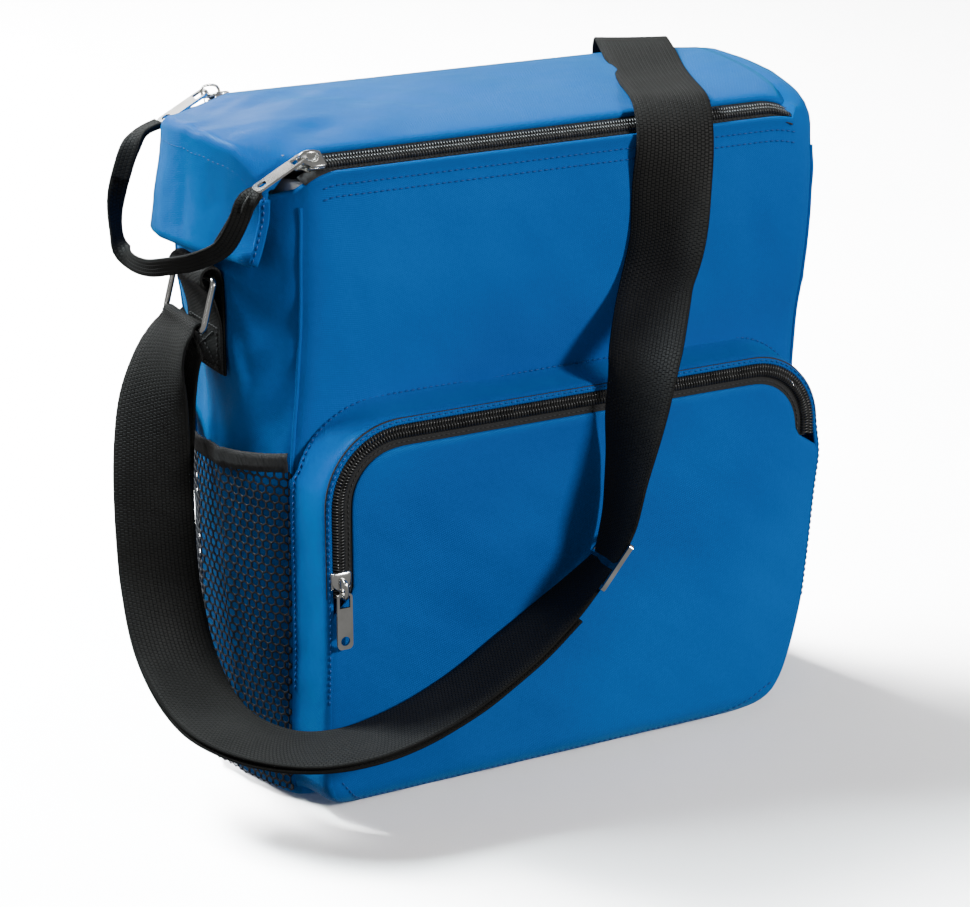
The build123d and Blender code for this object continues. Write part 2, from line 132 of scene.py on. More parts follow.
# ---------------------------------------------------------------- materials
class Nodes:
    """A short way to wire a material."""

    def __init__(self, name, roughness, metallic=0.0):
        self.material = bpy.data.materials.new(name)
        self.material.use_nodes = True
        self.tree = self.material.node_tree
        self.shader = self.tree.nodes["Principled BSDF"]
        self.shader.inputs["Roughness"].default_value = roughness
        self.shader.inputs["Metallic"].default_value = metallic
        self.place = self.tree.nodes.new("ShaderNodeTexCoord")

    def node(self, kind, **settings):
        made = self.tree.nodes.new(kind)
        for key, value in settings.items():
            if key in made.inputs:
                made.inputs[key].default_value = value
            else:
                setattr(made, key, value)
        return made

    def link(self, a, b):
        self.tree.links.new(a, b)

    def scaled(self, source, factor, turn=0.0):
        made = self.node("ShaderNodeMapping")
        made.inputs["Scale"].default_value = factor
        made.inputs["Rotation"].default_value = (0, 0, turn)
        self.link(self.place.outputs[source], made.inputs["Vector"])
        return made.outputs["Vector"]

    def noise(self, source, scale, detail=3.0):
        made = self.node("ShaderNodeTexNoise", Scale=scale, Detail=detail)
        self.link(self.place.outputs[source], made.inputs["Vector"])
        return made.outputs["Fac"]

    def ramp(self, source, low, high, at=(0.35, 0.65)):
        made = self.node("ShaderNodeValToRGB")
        made.color_ramp.elements[0].position = at[0]
        made.color_ramp.elements[1].position = at[1]
        made.color_ramp.elements[0].color = (*low, 1)
        made.color_ramp.elements[1].color = (*high, 1)
        self.link(source, made.inputs["Fac"])
        return made.outputs["Color"]

    def mix(self, fac, a, b, kind="MIX"):
        made = self.node("ShaderNodeMix", data_type="RGBA", blend_type=kind)
        if isinstance(fac, float):
            made.inputs[0].default_value = fac
        else:
            self.link(fac, made.inputs[0])
        for socket, value in ((made.inputs[6], a), (made.inputs[7], b)):
            if isinstance(value, tuple):
                socket.default_value = (*value, 1)
            else:
                self.link(value, socket)
        return made.outputs[2]

    def bump(self, *layers):
        """Layers of (height, strength, distance in metres), the first underneath."""
        last = None
        for height, strength, distance in layers:
            made = self.node("ShaderNodeBump", Strength=strength, Distance=distance)
            self.link(height, made.inputs["Height"])
            if last is not None:
                self.link(last, made.inputs["Normal"])
            last = made.outputs["Normal"]
        self.link(last, self.shader.inputs["Normal"])

    def colour(self, source):
        self.link(source, self.shader.inputs["Base Color"])

    def roughness(self, source, low, high):
        made = self.node("ShaderNodeMapRange")
        made.inputs["To Min"].default_value = low
        made.inputs["To Max"].default_value = high
        self.link(source, made.inputs["Value"])
        self.link(made.outputs["Result"], self.shader.inputs["Roughness"])

    def sheen(self, weight, roughness, tint):
        self.shader.inputs["Sheen Weight"].default_value = weight
        self.shader.inputs["Sheen Roughness"].default_value = roughness
        self.shader.inputs["Sheen Tint"].default_value = (*tint, 1)


def weave(n, source, width, height, turn=0.0):
    """Threads going over and under, from sizes in millimetres."""
    place = n.scaled(source, (1000, 1000, 1000), turn)
    brick = n.node("ShaderNodeTexBrick", Scale=1.0)
    brick.offset = 0.5
    brick.inputs["Color1"].default_value = (1, 1, 1, 1)
    brick.inputs["Color2"].default_value = (0.8, 0.8, 0.8, 1)
    brick.inputs["Mortar"].default_value = (0, 0, 0, 1)
    brick.inputs["Mortar Size"].default_value = 0.16 * height
    brick.inputs["Mortar Smooth"].default_value = 1.0
    brick.inputs["Brick Width"].default_value = width
    brick.inputs["Row Height"].default_value = height
    n.link(place, brick.inputs["Vector"])
    return brick.outputs["Color"]


def polyester():
    n = Nodes("royal_blue_polyester", 0.42)
    threads = weave(n, "UV", 1.5, 0.75, 0.6)
    ripple = n.noise("Object", 22.0, 5.0)
    patch = n.noise("Object", 7.0, 2.0)
    base = n.ramp(patch, (0.0, 0.095, 0.41), (0.0, 0.13, 0.51))
    light = n.mix(0.42, base, threads, "MULTIPLY")
    n.colour(light)
    n.roughness(ripple, 0.34, 0.46)
    n.shader.inputs["Specular IOR Level"].default_value = 0.2
    n.shader.inputs["Specular Tint"].default_value = (0.1, 0.6, 1.0, 1)
    n.sheen(0.25, 0.4, (0.0, 0.6, 1.0))
    n.bump((ripple, 0.5, 0.0045), (threads, 0.8, 0.0002))
    return n.material


def thread():
    n = Nodes("blue_sewing_thread", 0.5)
    twist = n.node("ShaderNodeTexWave", Scale=900.0, Distortion=0.5)
    n.link(n.place.outputs["Object"], twist.inputs["Vector"])
    n.colour(n.ramp(twist.outputs["Fac"], (0.0, 0.035, 0.17), (0.0, 0.08, 0.33)))
    n.sheen(0.08, 0.4, (0.6, 0.8, 1.0))
    n.bump((twist.outputs["Fac"], 0.4, 0.0001))
    return n.material


def dark_thread():
    n = Nodes("black_sewing_thread", 0.55)
    twist = n.node("ShaderNodeTexWave", Scale=900.0, Distortion=0.5)
    n.link(n.place.outputs["Object"], twist.inputs["Vector"])
    n.colour(n.ramp(twist.outputs["Fac"], (0.012, 0.012, 0.012), (0.045, 0.045, 0.043)))
    n.bump((twist.outputs["Fac"], 0.4, 0.0001))
    return n.material


def belt():
    n = Nodes("black_ribbed_webbing", 0.6)
    threads = weave(n, "UV", 1.7, 1.9)
    fuzz = n.noise("Object", 900.0, 2.0)
    wear = n.noise("Object", 22.0, 4.0)
    low = n.ramp(wear, (0.002, 0.002, 0.0018), (0.004, 0.004, 0.0036))
    high = n.ramp(wear, (0.013, 0.0127, 0.0115), (0.021, 0.0205, 0.019))
    n.colour(n.mix(threads, low, high))
    n.roughness(fuzz, 0.55, 0.72)
    n.shader.inputs["Specular IOR Level"].default_value = 0.15
    n.sheen(0.03, 0.45, (0.8, 0.8, 0.78))
    n.bump((fuzz, 0.2, 0.0002), (threads, 0.9, 0.0005))
    return n.material


def tape_cloth():
    n = Nodes("black_woven_zip_tape", 0.62)
    threads = weave(n, "UV", 1.2, 0.8)
    wear = n.noise("Object", 60.0, 3.0)
    n.colour(n.mix(threads, (0.003, 0.003, 0.003), (0.012, 0.012, 0.0115)))
    n.roughness(wear, 0.55, 0.7)
    n.sheen(0.08, 0.5, (0.8, 0.8, 0.8))
    n.bump((threads, 0.7, 0.0003))
    return n.material


def nylon():
    n = Nodes("black_nylon_coil", 0.3)
    wear = n.noise("Object", 180.0, 3.0)
    n.colour(n.ramp(wear, (0.012, 0.012, 0.012), (0.03, 0.03, 0.029)))
    n.roughness(wear, 0.24, 0.4)
    n.bump((wear, 0.2, 0.0001))
    return n.material


def nickel():
    n = Nodes("polished_nickel", 0.16, 1.0)
    cloud = n.noise("Object", 90.0, 3.0)
    scratch = n.node("ShaderNodeTexNoise", Scale=1.0, Detail=4.0)
    n.link(n.scaled("Object", (2600, 420, 2600)), scratch.inputs["Vector"])
    n.colour(n.ramp(cloud, (0.60, 0.59, 0.56), (0.74, 0.73, 0.70)))
    n.roughness(cloud, 0.13, 0.26)
    n.bump((cloud, 0.12, 0.0004), (scratch.outputs["Fac"], 0.06, 0.0001))
    return n.material


def net_yarn():
    n = Nodes("black_net_yarn", 0.55)
    fuzz = n.noise("Object", 1500.0, 2.0)
    n.colour(n.ramp(fuzz, (0.006, 0.007, 0.012), (0.022, 0.024, 0.032)))
    n.sheen(0.02, 0.4, (0.7, 0.8, 1.0))
    n.bump((fuzz, 0.5, 0.0002))
    return n.material


def elastic():
    n = Nodes("black_elastic_binding", 0.62)
    ribs = n.node("ShaderNodeTexWave", Scale=0.45, Distortion=0.3)
    ribs.bands_direction = "X"
    n.link(n.scaled("UV", (1000, 1000, 1000)), ribs.inputs["Vector"])
    n.colour(n.ramp(ribs.outputs["Fac"], (0.003, 0.003, 0.003), (0.014, 0.014, 0.013)))
    n.sheen(0.08, 0.5, (0.8, 0.8, 0.8))
    n.bump((ribs.outputs["Fac"], 0.6, 0.0004))
    return n.material


def foil():
    n = Nodes("silver_foil_liner", 0.3, 0.75)
    crease = n.node("ShaderNodeTexVoronoi", Scale=55.0, feature="DISTANCE_TO_EDGE")
    n.link(n.place.outputs["Object"], crease.inputs["Vector"])
    cloud = n.noise("Object", 30.0, 5.0)
    n.colour(n.ramp(cloud, (0.62, 0.64, 0.66), (0.82, 0.83, 0.85)))
    n.roughness(cloud, 0.24, 0.42)
    n.bump((cloud, 0.5, 0.003), (crease.outputs["Distance"], 0.25, 0.0012))
    return n.material


blue = polyester()
blue_thread = thread()
black_thread = dark_thread()
webbing_cloth = belt()
zip_cloth = tape_cloth()
coil_nylon = nylon()
metal = nickel()
net_cloth = net_yarn()
elastic_cloth = elastic()
foil_cloth = foil()


# ---------------------------------------------------------------- mesh helpers
def make(name, points, faces, body, material, uvs=None, shade=True):
    """A mesh object from millimetre points, riding on a body."""
    mesh = bpy.data.meshes.new(name)
    mesh.from_pydata([tuple(Vector(p) * MM) for p in points], [], faces)
    if uvs is not None:
        layer = mesh.uv_layers.new(name="UVMap")
        for loop in mesh.loops:
            u, v = uvs[loop.vertex_index]
            layer.data[loop.index].uv = (u * MM, v * MM)
    mesh.materials.append(material)
    if shade:
        mesh.polygons.foreach_set("use_smooth", [True] * len(mesh.polygons))
    mesh.update()
    piece = bpy.data.objects.new(name, mesh)
    bpy.context.scene.collection.objects.link(piece)
    if body is not None:
        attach(piece, body)
    return piece


def bridge(rings, count, base=0, around=True):
    """Faces between rings of `count` points that follow each other from index `base`."""
    faces = []
    for i in range(rings - 1):
        for j in range(count if around else count - 1):
            k = (j + 1) % count
            a = base + i * count
            faces.append((a + j, a + k, a + count + k, a + count + j))
    return faces


def thicken(piece, thick, offset):
    solid = piece.modifiers.new("cloth", "SOLIDIFY")
    solid.thickness = thick * MM
    solid.offset = offset


def grid(name, rows, body, material, around=False, thick=0.0, offset=-1.0, flat=False):
    """A sheet through rows of points, its UV map in millimetres along the cloth, or over
    X and Z where the cloth is cut flat."""
    count = len(rows[0])
    points = []
    uvs = []
    down = [0.0] * count
    for i, row in enumerate(rows):
        across = 0.0
        for j, p in enumerate(row):
            if i:
                down[j] += (Vector(p) - Vector(rows[i - 1][j])).length
            if j:
                across += (Vector(p) - Vector(row[j - 1])).length
            points.append(p)
            uvs.append((p[0], p[2]) if flat else (across, down[j]))
    faces = bridge(len(rows), count, 0, around)
    piece = make(name, points, faces, body, material, uvs)
    if thick:
        thicken(piece, thick, offset)
    return piece


def spline(points, step):
    """Catmull-Rom through (middle, across) pairs, sampled about every `step` mm."""
    out = []
    n = len(points)
    for i in range(n - 1):
        quad = [points[min(max(i + k, 0), n - 1)] for k in (-1, 0, 1, 2)]
        parts = max(1, round((points[i + 1][0] - points[i][0]).length / step))
        for s in range(parts):
            t = s / parts
            blended = []
            for kind in (0, 1):
                p0, p1, p2, p3 = (q[kind] for q in quad)
                value = 0.5 * (
                    2 * p1
                    + (p2 - p0) * t
                    + (2 * p0 - 5 * p1 + 4 * p2 - p3) * t * t
                    + (3 * p1 - p0 - 3 * p2 + p3) * t * t * t
                )
                blended.append(value)
            out.append((blended[0], blended[1].normalized()))
    out.append((points[-1][0], points[-1][1].normalized()))
    return out


def frames(sections):
    """(middle, across, normal, ahead) along a run of sections."""
    out = []
    last = len(sections) - 1
    for i, (middle, across) in enumerate(sections):
        ahead = sections[min(i + 1, last)][0] - sections[max(i - 1, 0)][0]
        ahead.normalize()
        normal = ahead.cross(across).normalized()
        side = normal.cross(ahead).normalized()
        out.append((middle, side, normal, ahead))
    return out


def ribbon(name, sections, wide, thick, body, material, cup=0.0, ripple=0.0):
    """A flat woven strap with rounded edges, as one closed mesh."""
    half = wide / 2
    edge = thick / 2
    profile = []
    inner = half - edge
    steps = 6
    for k in range(steps + 1):
        profile.append((lerp(-inner, inner, k / steps), edge))
    profile.append((half - 0.25 * edge, 0.55 * edge))
    profile.append((half - 0.25 * edge, -0.55 * edge))
    for k in range(steps + 1):
        profile.append((lerp(inner, -inner, k / steps), -edge))
    profile.append((-half + 0.25 * edge, -0.55 * edge))
    profile.append((-half + 0.25 * edge, 0.55 * edge))
    points = []
    uvs = []
    run = 0.0
    before = None
    for middle, side, normal, _ in frames(sections):
        if before is not None:
            run += (middle - before).length
        before = middle
        sway = ripple * wander(run, 0, 0, 34.0, 3.0)
        for across, out in profile:
            bow = cup * (1 - (across / half) ** 2) - cup * 0.5
            edge_wave = ripple * 0.6 * (across / half) * wander(run, across, 0, 21.0, 7.0)
            points.append(middle + side * across + normal * (out + bow + sway + edge_wave))
            uvs.append((run, across if out > -edge * 0.8 else wide + across))
    count = len(profile)
    faces = []
    for i in range(len(sections) - 1):
        for j in range(count):
            k = (j + 1) % count
            a = i * count
            b = a + count
            faces.append((a + k, a + j, b + j, b + k))
    faces.append(tuple(range(count)))
    faces.append(tuple(reversed(range(len(points) - count, len(points)))))
    return make(name, points, faces, body, material, uvs)


def stitches(name, path, body, material, pitch=3.2, long=2.3, fat=0.42):
    """A row of thread stitches along (point, normal) pairs, each a slim raised capsule."""
    points = []
    faces = []
    run = 0.0
    marks = []
    for (p, pn), (q, qn) in zip(path, path[1:]):
        gap = (q - p).length
        while run < gap:
            t = run / gap if gap else 0
            marks.append((p.lerp(q, t), pn.lerp(qn, t).normalized(), (q - p).normalized()))
            run += pitch
        run -= gap
    for middle, normal, ahead in marks:
        side = ahead.cross(normal).normalized()
        base = len(points)
        rings = ((-0.5, 0.25, 0.02), (-0.3, 1.0, 0.8), (0.3, 1.0, 0.8), (0.5, 0.25, 0.02))
        for along, size, lift in rings:
            centre = middle + ahead * (along * long) + normal * (fat * 0.5 * lift)
            for turn in range(4):
                angle = math.pi / 4 + turn * math.pi / 2
                swing = side * math.cos(angle) + normal * math.sin(angle)
                points.append(centre + swing * (fat * size))
        faces += bridge(4, 4, base)
    return make(name, points, faces, body, material)


def cloth_stitches(name, route, body="bag"):
    return stitches(name, route, body, blue_thread)


def webbing(name, sections, wide, thick, body, cup, ripple):
    return ribbon(name, sections, wide, thick, body, webbing_cloth, cup, ripple)


def tube(points_in, radius, sides=10):
    """Vertices and faces of a round bar along points."""
    points = []
    n = len(points_in)
    reference = Vector((0.13, 0.21, 0.97))
    for i, p in enumerate(points_in):
        ahead = points_in[min(i + 1, n - 1)] - points_in[max(i - 1, 0)]
        ahead.normalize()
        side = ahead.cross(reference).normalized()
        other = ahead.cross(side).normalized()
        for k in range(sides):
            angle = 2 * math.pi * k / sides
            points.append(p + (side * math.cos(angle) + other * math.sin(angle)) * radius)
    return points, bridge(n, sides)


# ---------------------------------------------------------------- body shell
def side_x(y, out=0.0):
    """Distance of the bulging side from the middle plane at y."""
    radius = SIDE_RADIUS + out
    return SIDE_CENTRE + math.sqrt(max(radius**2 - y**2, 0.0))


def resample(points, step):
    """Evenly spaced points along a closed outline."""
    n = len(points)
    lengths = [(points[(i + 1) % n] - points[i]).length for i in range(n)]
    total = sum(lengths)
    count = round(total / step)
    out = []
    i = 0
    passed = 0.0
    for k in range(count):
        s = total * k / count
        while passed + lengths[i] < s:
            passed += lengths[i]
            i += 1
        t = (s - passed) / lengths[i]
        out.append(points[i].lerp(points[(i + 1) % n], t))
    return out


def rounded(points, times):
    """Takes the sharpness off the corners of a closed outline."""
    for _ in range(times):
        n = len(points)
        points = [
            (points[i - 1] + points[i] * 2 + points[(i + 1) % n]) / 4 for i in range(n)
        ]
    return points


def plan_outline(inset):
    """The body seen from above, front first, then right, back and left."""
    y = HALF_DEPTH - inset
    radius = SIDE_RADIUS - inset
    x = SIDE_CENTRE + math.sqrt(radius**2 - y**2)
    points = [Vector((lerp(-x, x, i / 70), -y, 0)) for i in range(70)]
    for i in range(26):
        v = lerp(-y, y, i / 26)
        points.append(Vector((SIDE_CENTRE + math.sqrt(radius**2 - v**2), v, 0)))
    points += [Vector((lerp(x, -x, i / 70), y, 0)) for i in range(70)]
    for i in range(26):
        v = lerp(y, -y, i / 26)
        points.append(Vector((-SIDE_CENTRE - math.sqrt(radius**2 - v**2), v, 0)))
    return rounded(resample(points, 4.0), 4)


LEFT_LEAN = [(0, -4), (52, -4), (118, -2), (173, -1), (210, 2.5), (235, 5), (300, 6.5)]
REAR_LEFT_LEAN = [(0, -1), (60, -4), (150, -4), (195, -5), (240, -11), (300, -13)]
RIGHT_LEAN = [(0, -9), (50, -7), (120, -6), (180, -5), (217, -2), (241, 1), (282, 3), (300, 2)]


def crease(x, y, z, scale, seed):
    """Narrow ridges with soft valleys between them, as pulled cloth makes."""
    return 0.45 - abs(wander(x, y, z, scale, seed)) * 1.5


def lean(x, y, z):
    """How far the soft corners wander sideways from the pattern, up the height."""
    amount = smooth((abs(y) - 25) / 32) * smooth((abs(x) - 85) / 55)
    if x < 0:
        return amount * table(z, LEFT_LEAN if y < 0 else REAR_LEFT_LEAN)
    return amount * table(z, RIGHT_LEAN)


def cloth_relief(x, y, z, normal):
    """Soft unevenness of the filled fabric walls."""
    d = 1.3 * wander(x, y, z, 58.0, 1.3) + 0.8 * wander(x, y, z, 25.0, 4.1)
    slant = x * 0.8 + z * 0.6
    d += 0.5 * wander(slant, y, z * 0.2, 13.0, 9.0)
    d += 0.8 * wander(x * 1.3, y, z * 0.22, 20.0, 6.3) * smooth((abs(x) - 60) / 60)
    if abs(normal.y) > 0.7:
        inner = smooth((1 - abs(x) / 138) * 4)
        d += 2.0 * inner * math.sin(math.pi * min(max((z - 10) / 295, 0), 1))
    else:
        d += 0.9 * wander(x, y * 0.35, z, 17.0, 2.2) * smooth((300 - z) / 40)
        d += 2.6 * crease(y * 0.9 + z * 0.35, z * 0.16, 0, 22.0, 7.0) * smooth((z - 150) / 70)
    return d


def zip_dip(x):
    """How the top zips turn down at their ends: (outwards, down)."""
    far = max(x - 114.0, 0.0)
    near = max(-124.0 - x, 0.0)
    return 0.006 * far**2, 0.016 * far**2 + 0.03 * near**2


FRONT_LIP = [(0.6, 2.2), (1.3, 4.2), (1.9, 5.5), (1.9, 6.5), (1.2, 7.1), (0.4, 6.9), (0.1, 6.3)]
SIDE_LIP = [(0, 2), (0, 3.4), (-0.6, 4.4), (-1.8, 4.9), (-3.2, 4.9), (-4.6, 4.6), (-6.0, 4.0)]
WALL_END = -9.0


LID_SKIN = 5.7


def lid_surface(x, y):
    """Height of the lid's cloth above the lid plane: crowned, pressed down by the strap."""
    under_strap = smooth(1 - abs(x - (82 + 0.38 * y)) / 42)
    crown = lerp(4.2, 0.9, under_strap) * (1 - (abs(y) / 47) ** 2.6)
    crown *= smooth((x + 158) / 30) * 0.75 + 0.25
    diagonal = x * 0.55 + y * 0.85
    far = math.hypot(x + 118, y + 62)
    folds = 1.5 * wander(far, math.atan2(y + 62, x + 118) * 14, 0, 12.0, 6.0)
    folds *= smooth((10 - x) / 90) * smooth((far - 14) / 20)
    folds += 0.5 * wander(diagonal, x * 0.25, 0, 15.0, 6.0) * smooth((60 - x) / 120)
    folds += 3.2 * crease(x * 0.35 - y * 0.8, x * 0.2 + y * 0.1, 0, 21.0, 3.0) * smooth((-50 - x) / 70)
    folds += 0.7 * wander(x, y, 0, 34.0, 2.0)
    folds += 0.35 * wander(x * 0.5, y * 1.6, 0, 9.0, 11.0)
    quiet = 1 - 0.85 * under_strap
    dip = zip_dip(x)[1] * (abs(y) / 47) ** 6 * 0.9
    return LID_SKIN + crown + folds * quiet * (1 - (abs(y) / 47) ** 4) - dip


def outer_shell():
    """The blue fabric walls and base, rolled over at the top, and the fixed strip at the
    right end that the lid folds on."""
    outline = plan_outline(0)
    n = len(outline)
    normals = []
    for i in range(n):
        ahead = outline[(i + 1) % n] - outline[i - 1]
        normals.append(Vector((ahead.y, -ahead.x, 0)).normalized())
    strip = [i for i in range(n) if outline[i].x > HINGE_X]
    first = strip[0]
    share = {i: (i - first) / (len(strip) - 1) for i in strip}
    rows = []
    for t in (0.0, 0.35, 0.7, 0.92):
        row = []
        for p in outline:
            core = Vector((min(max(p.x, -CORE_X), CORE_X), 0, 0))
            q = core.lerp(p, t)
            row.append(Vector((q.x + lean(p.x, p.y, 0) * t, q.y, 0.6)))
        rows.append(row)
    levels = [(2.6, 0.7), (1.0, 1.6), (0.3, 3.2)] + [(0, 6 + 4.1 * k) for k in range(73)]
    span = levels[-1][1]
    for inset, z in levels:
        row = []
        for p, normal in zip(outline, normals):
            top = LID_HEIGHT + p.y * math.tan(LID_TILT) + WALL_END - zip_dip(p.x)[1] * 0.6
            height = z if z < 6 else lerp(6, top, (z - 6) / (span - 6))
            d = cloth_relief(p.x, p.y, height, normal) * smooth(height / 30)
            d *= smooth((top - height) / 22) * 0.9 + 0.1
            q = p + normal * (d - inset)
            q.x += lean(p.x, p.y, height)
            row.append(Vector((q.x, q.y, height)))
        rows.append(row)
    base = rows[-1]
    for k in range(7):
        row = []
        for i, (p, normal) in enumerate(zip(outline, normals)):
            out, up = FRONT_LIP[k]
            side_out, side_up = SIDE_LIP[k]
            share_front = smooth((abs(p.y) - 49) / 7)
            start = base[i]
            if i in share:
                u = share[i]
                t = (k + 1) / 7
                goal_y = lerp(-54.0, 54.0, u)
                inner_y = min(max(goal_y, -47), 47)
                goal = lid_point(HINGE_X + 0.4, goal_y, lid_surface(HINGE_X, inner_y) + 0.2)
                flat = 1 - math.cos(t * math.pi / 2)
                rise = math.sin(t * math.pi / 2) ** 0.8
                dip = zip_dip(HINGE_X)[1] * 0.1 * smooth((abs(goal_y) - 47) / 7)
                row.append(
                    Vector(
                        (
                            lerp(start.x, goal.x, flat**1.3),
                            lerp(start.y, goal.y, flat),
                            lerp(start.z, goal.z - dip, rise),
                        )
                    )
                )
                continue
            o = lerp(side_out, out, share_front)
            u = lerp(side_up, up, share_front)
            row.append(start + normal * o + Vector((0, 0, u)))
        rows.append(row)
    tuck = list(rows[-1])
    for i in strip:
        tuck[i] = tuck[i] + Vector((-4.0, 0, -2.0))
    shell = grid("outer_shell", rows + [tuck], "bag", blue, around=True)
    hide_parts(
        "outer_base",
        "outer_front",
        "outer_back",
        "outer_left",
        "outer_right",
        "lid_hinge_strip",
    )
    return rows, outline, normals


shell_rows, shell_outline, shell_normals = outer_shell()


def on_wall(x, z, lift=0.0, side=-1):
    """A point on the front wall's cloth (side 1: the back wall's) and its normal."""
    y = side * HALF_DEPTH
    normal = Vector((0, side, 0))
    d = cloth_relief(x, y, z, normal) * smooth(z / 30)
    top = LID_HEIGHT + y * math.tan(LID_TILT) + WALL_END - zip_dip(x)[1] * 0.6
    d *= smooth((top - z) / 22) * 0.9 + 0.1
    p = Vector((x + lean(x, y, z), y + side * (d + lift), z))
    return p, normal


# ---------------------------------------------------------------- insulation
def insulation():
    """Foam-backed foil tub inside the shell, and the lining under the lid."""
    outer = plan_outline(5.6)
    inner = plan_outline(8.6)
    rows = []
    for t in (0.0, 0.5, 0.9):
        cores = [Vector((min(max(p.x, -CORE_X), CORE_X), 0, 0)) for p in outer]
        lift = Vector((0, 0, LINER_BASE))
        rows.append([core.lerp(p, t) + lift for core, p in zip(cores, outer)])
    top = [LID_HEIGHT + p.y * math.tan(LID_TILT) - 8.6 for p in outer]
    for share in (0.0, 0.25, 0.5, 0.75, 1.0):
        rows.append(
            [Vector((p.x, p.y, lerp(3.0, h - 1.6, share))) for p, h in zip(outer, top)]
        )
    n = len(outer)
    centre = []
    for i in range(n):
        j = min(range(len(inner)), key=lambda k: (inner[k] - outer[i]).length)
        centre.append(inner[j])
    inner = rounded(centre, 2)
    rows.append([o.lerp(i, 0.2) + Vector((0, 0, h)) for o, i, h in zip(outer, inner, top)])
    rows.append([o.lerp(i, 0.8) + Vector((0, 0, h)) for o, i, h in zip(outer, inner, top)])
    for k in range(36):
        share = k / 35
        row = []
        for p, h in zip(inner, top):
            z = lerp(h - 1.6, 11.0, share)
            inward = p.normalized() * (1.0 + wander(p.x, p.y, z, 26.0, 5.0) * 0.9)
            row.append(Vector((p.x, p.y, z)) - inward)
        rows.append(row)
    for t in (0.96, 0.75, 0.5, 0.25, 0.0):
        row = []
        for p in inner:
            q = Vector((min(max(p.x, -CORE_X), CORE_X), 0, 0)).lerp(p, t)
            row.append(Vector((q.x, q.y, 8.4 + 0.5 * wander(q.x, q.y, 0, 22.0, 8.0))))
        rows.append(row)
    for row in rows:
        for p in row:
            p.x += lean(p.x, p.y, p.z)
            p.y *= 1 - 0.012 * smooth((HALF_WIDTH - abs(p.x)) / 30)
    tub = grid("insulated_liner", rows, "bag", foil_cloth, around=True)
    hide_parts("liner_tub", "foam_base", "foam_front", "foam_back", "foam_left", "foam_right")
    section = []
    for y in range(-44, 45, 4):
        section.append((float(y), 3.2))
    for y in range(44, -45, -4):
        section.append((float(y), -2.2))
    rows = []
    stations = [HINGE_X - 3 - i * 5.6 for i in range(50)]
    for i, x in enumerate(stations):
        squeeze = 1.0 if 0 < i < len(stations) - 1 else 0.0
        row = []
        for y, z in section:
            reach = side_x(y, -7.0)
            px = max(x, -reach)
            quilt = 0.0
            if z < 0:
                quilt = 1.0 * abs(math.sin(px * math.pi / 46)) * abs(math.cos(y * math.pi / 46))
            mid = 0.5
            row.append(lid_point(px, y * 0.995, mid + (z + quilt * 0.9 - mid) * (0.35 + 0.65 * squeeze)))
        rows.append(row)
    lining = grid("lid_lining", rows, "lid", foil_cloth, around=True)
    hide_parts("lid_foam", "lid_liner")


insulation()


# ---------------------------------------------------------------- lid and its end flap
LID_PROFILE = [
    (-45.9, 2.6),
    (-47.0, 2.3),
    (-47.7, 1.4),
    (-47.5, 0.5),
    (-46.4, 0.1),
    (-44.6, 0.0),
]
FLAP_BOTTOM = 266.0


def lid_left(y):
    """Where the lid's cloth turns down over the left side, standing off the wall."""
    return -side_x(y) - 5.0 - 9.5 * smooth((y + 50) / 95)


def lid_skin():
    """One cloth over the lid that folds down over the left side as its end flap."""
    columns = list(LID_PROFILE)
    columns += [(float(y), 0.0) for y in range(-42, 43, 3)]
    columns += [(-y, inward) for y, inward in reversed(LID_PROFILE)]
    rows = []
    steps = 76
    bend = 4.5
    for i in range(steps + 1):
        row = []
        for y, inward in columns:
            edge = lid_left(y)
            x = lerp(HINGE_X - 0.4, edge + bend, i / steps)
            row.append(lid_point(x, y, lid_surface(x, y) - inward))
        rows.append(row)
    for k in range(1, 6):
        a = math.radians(18 * k)
        row = []
        for y, inward in columns:
            edge = lid_left(y)
            z = lid_surface(edge + bend, y) - bend
            r = bend - inward + 0.35 * math.sin(2 * a)
            row.append(lid_point(edge + bend - r * math.sin(a), y, z + r * math.cos(a)))
        rows.append(row)
    top = rows[-1]
    down = 16
    for k in range(1, down + 4):
        row = []
        for j, (y, inward) in enumerate(columns):
            t = min(k / down, 1.0)
            start = top[j]
            z = lerp(start.z, FLAP_BOTTOM + 0.8, t)
            flare = 2.6 * t * t * (1.1 - 0.4 * y / 47)
            flare += 3.0 * smooth((-30 - y) / 16) * t**1.2
            flare += 3.5 * smooth((y - 5) / 40) * t
            if y < -44:
                inward_t = inward * 0.8 * t
                flare += inward_t
            wave = 0.9 * wander(y, z, 0, 16.0, 12.0) * t + 0.4 * wander(y, z, 0, 7.0, 14.0) * t
            hem = (0, 0.5, 1.3, 1.6)[max(k - down, 0)]
            lift = (0, -0.5, -0.3, 0.6)[max(k - down, 0)]
            wave = abs(wave) - 2.4 * crease(y * 0.8, z * 0.3, 0, 24.0, 5.0) * smooth(t * 2)
            row.append(Vector((start.x - flare - wave + hem, start.y, z + lift)))
        rows.append(row)
    cloth = grid("lid_skin", rows, "lid", blue)
    thicken(cloth, 0.7, 1.0)
    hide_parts("lid_panel", "lid_end_flap")
    return rows, columns


lid_rows, lid_columns = lid_skin()


def along_rows(rows, picks, lift, outward):
    """(point, normal) pairs picked from grid rows, lifted off the cloth."""
    out = []
    for i, j in picks:
        p = Vector(rows[i][j])
        out.append((p + outward * lift, outward))
    return out


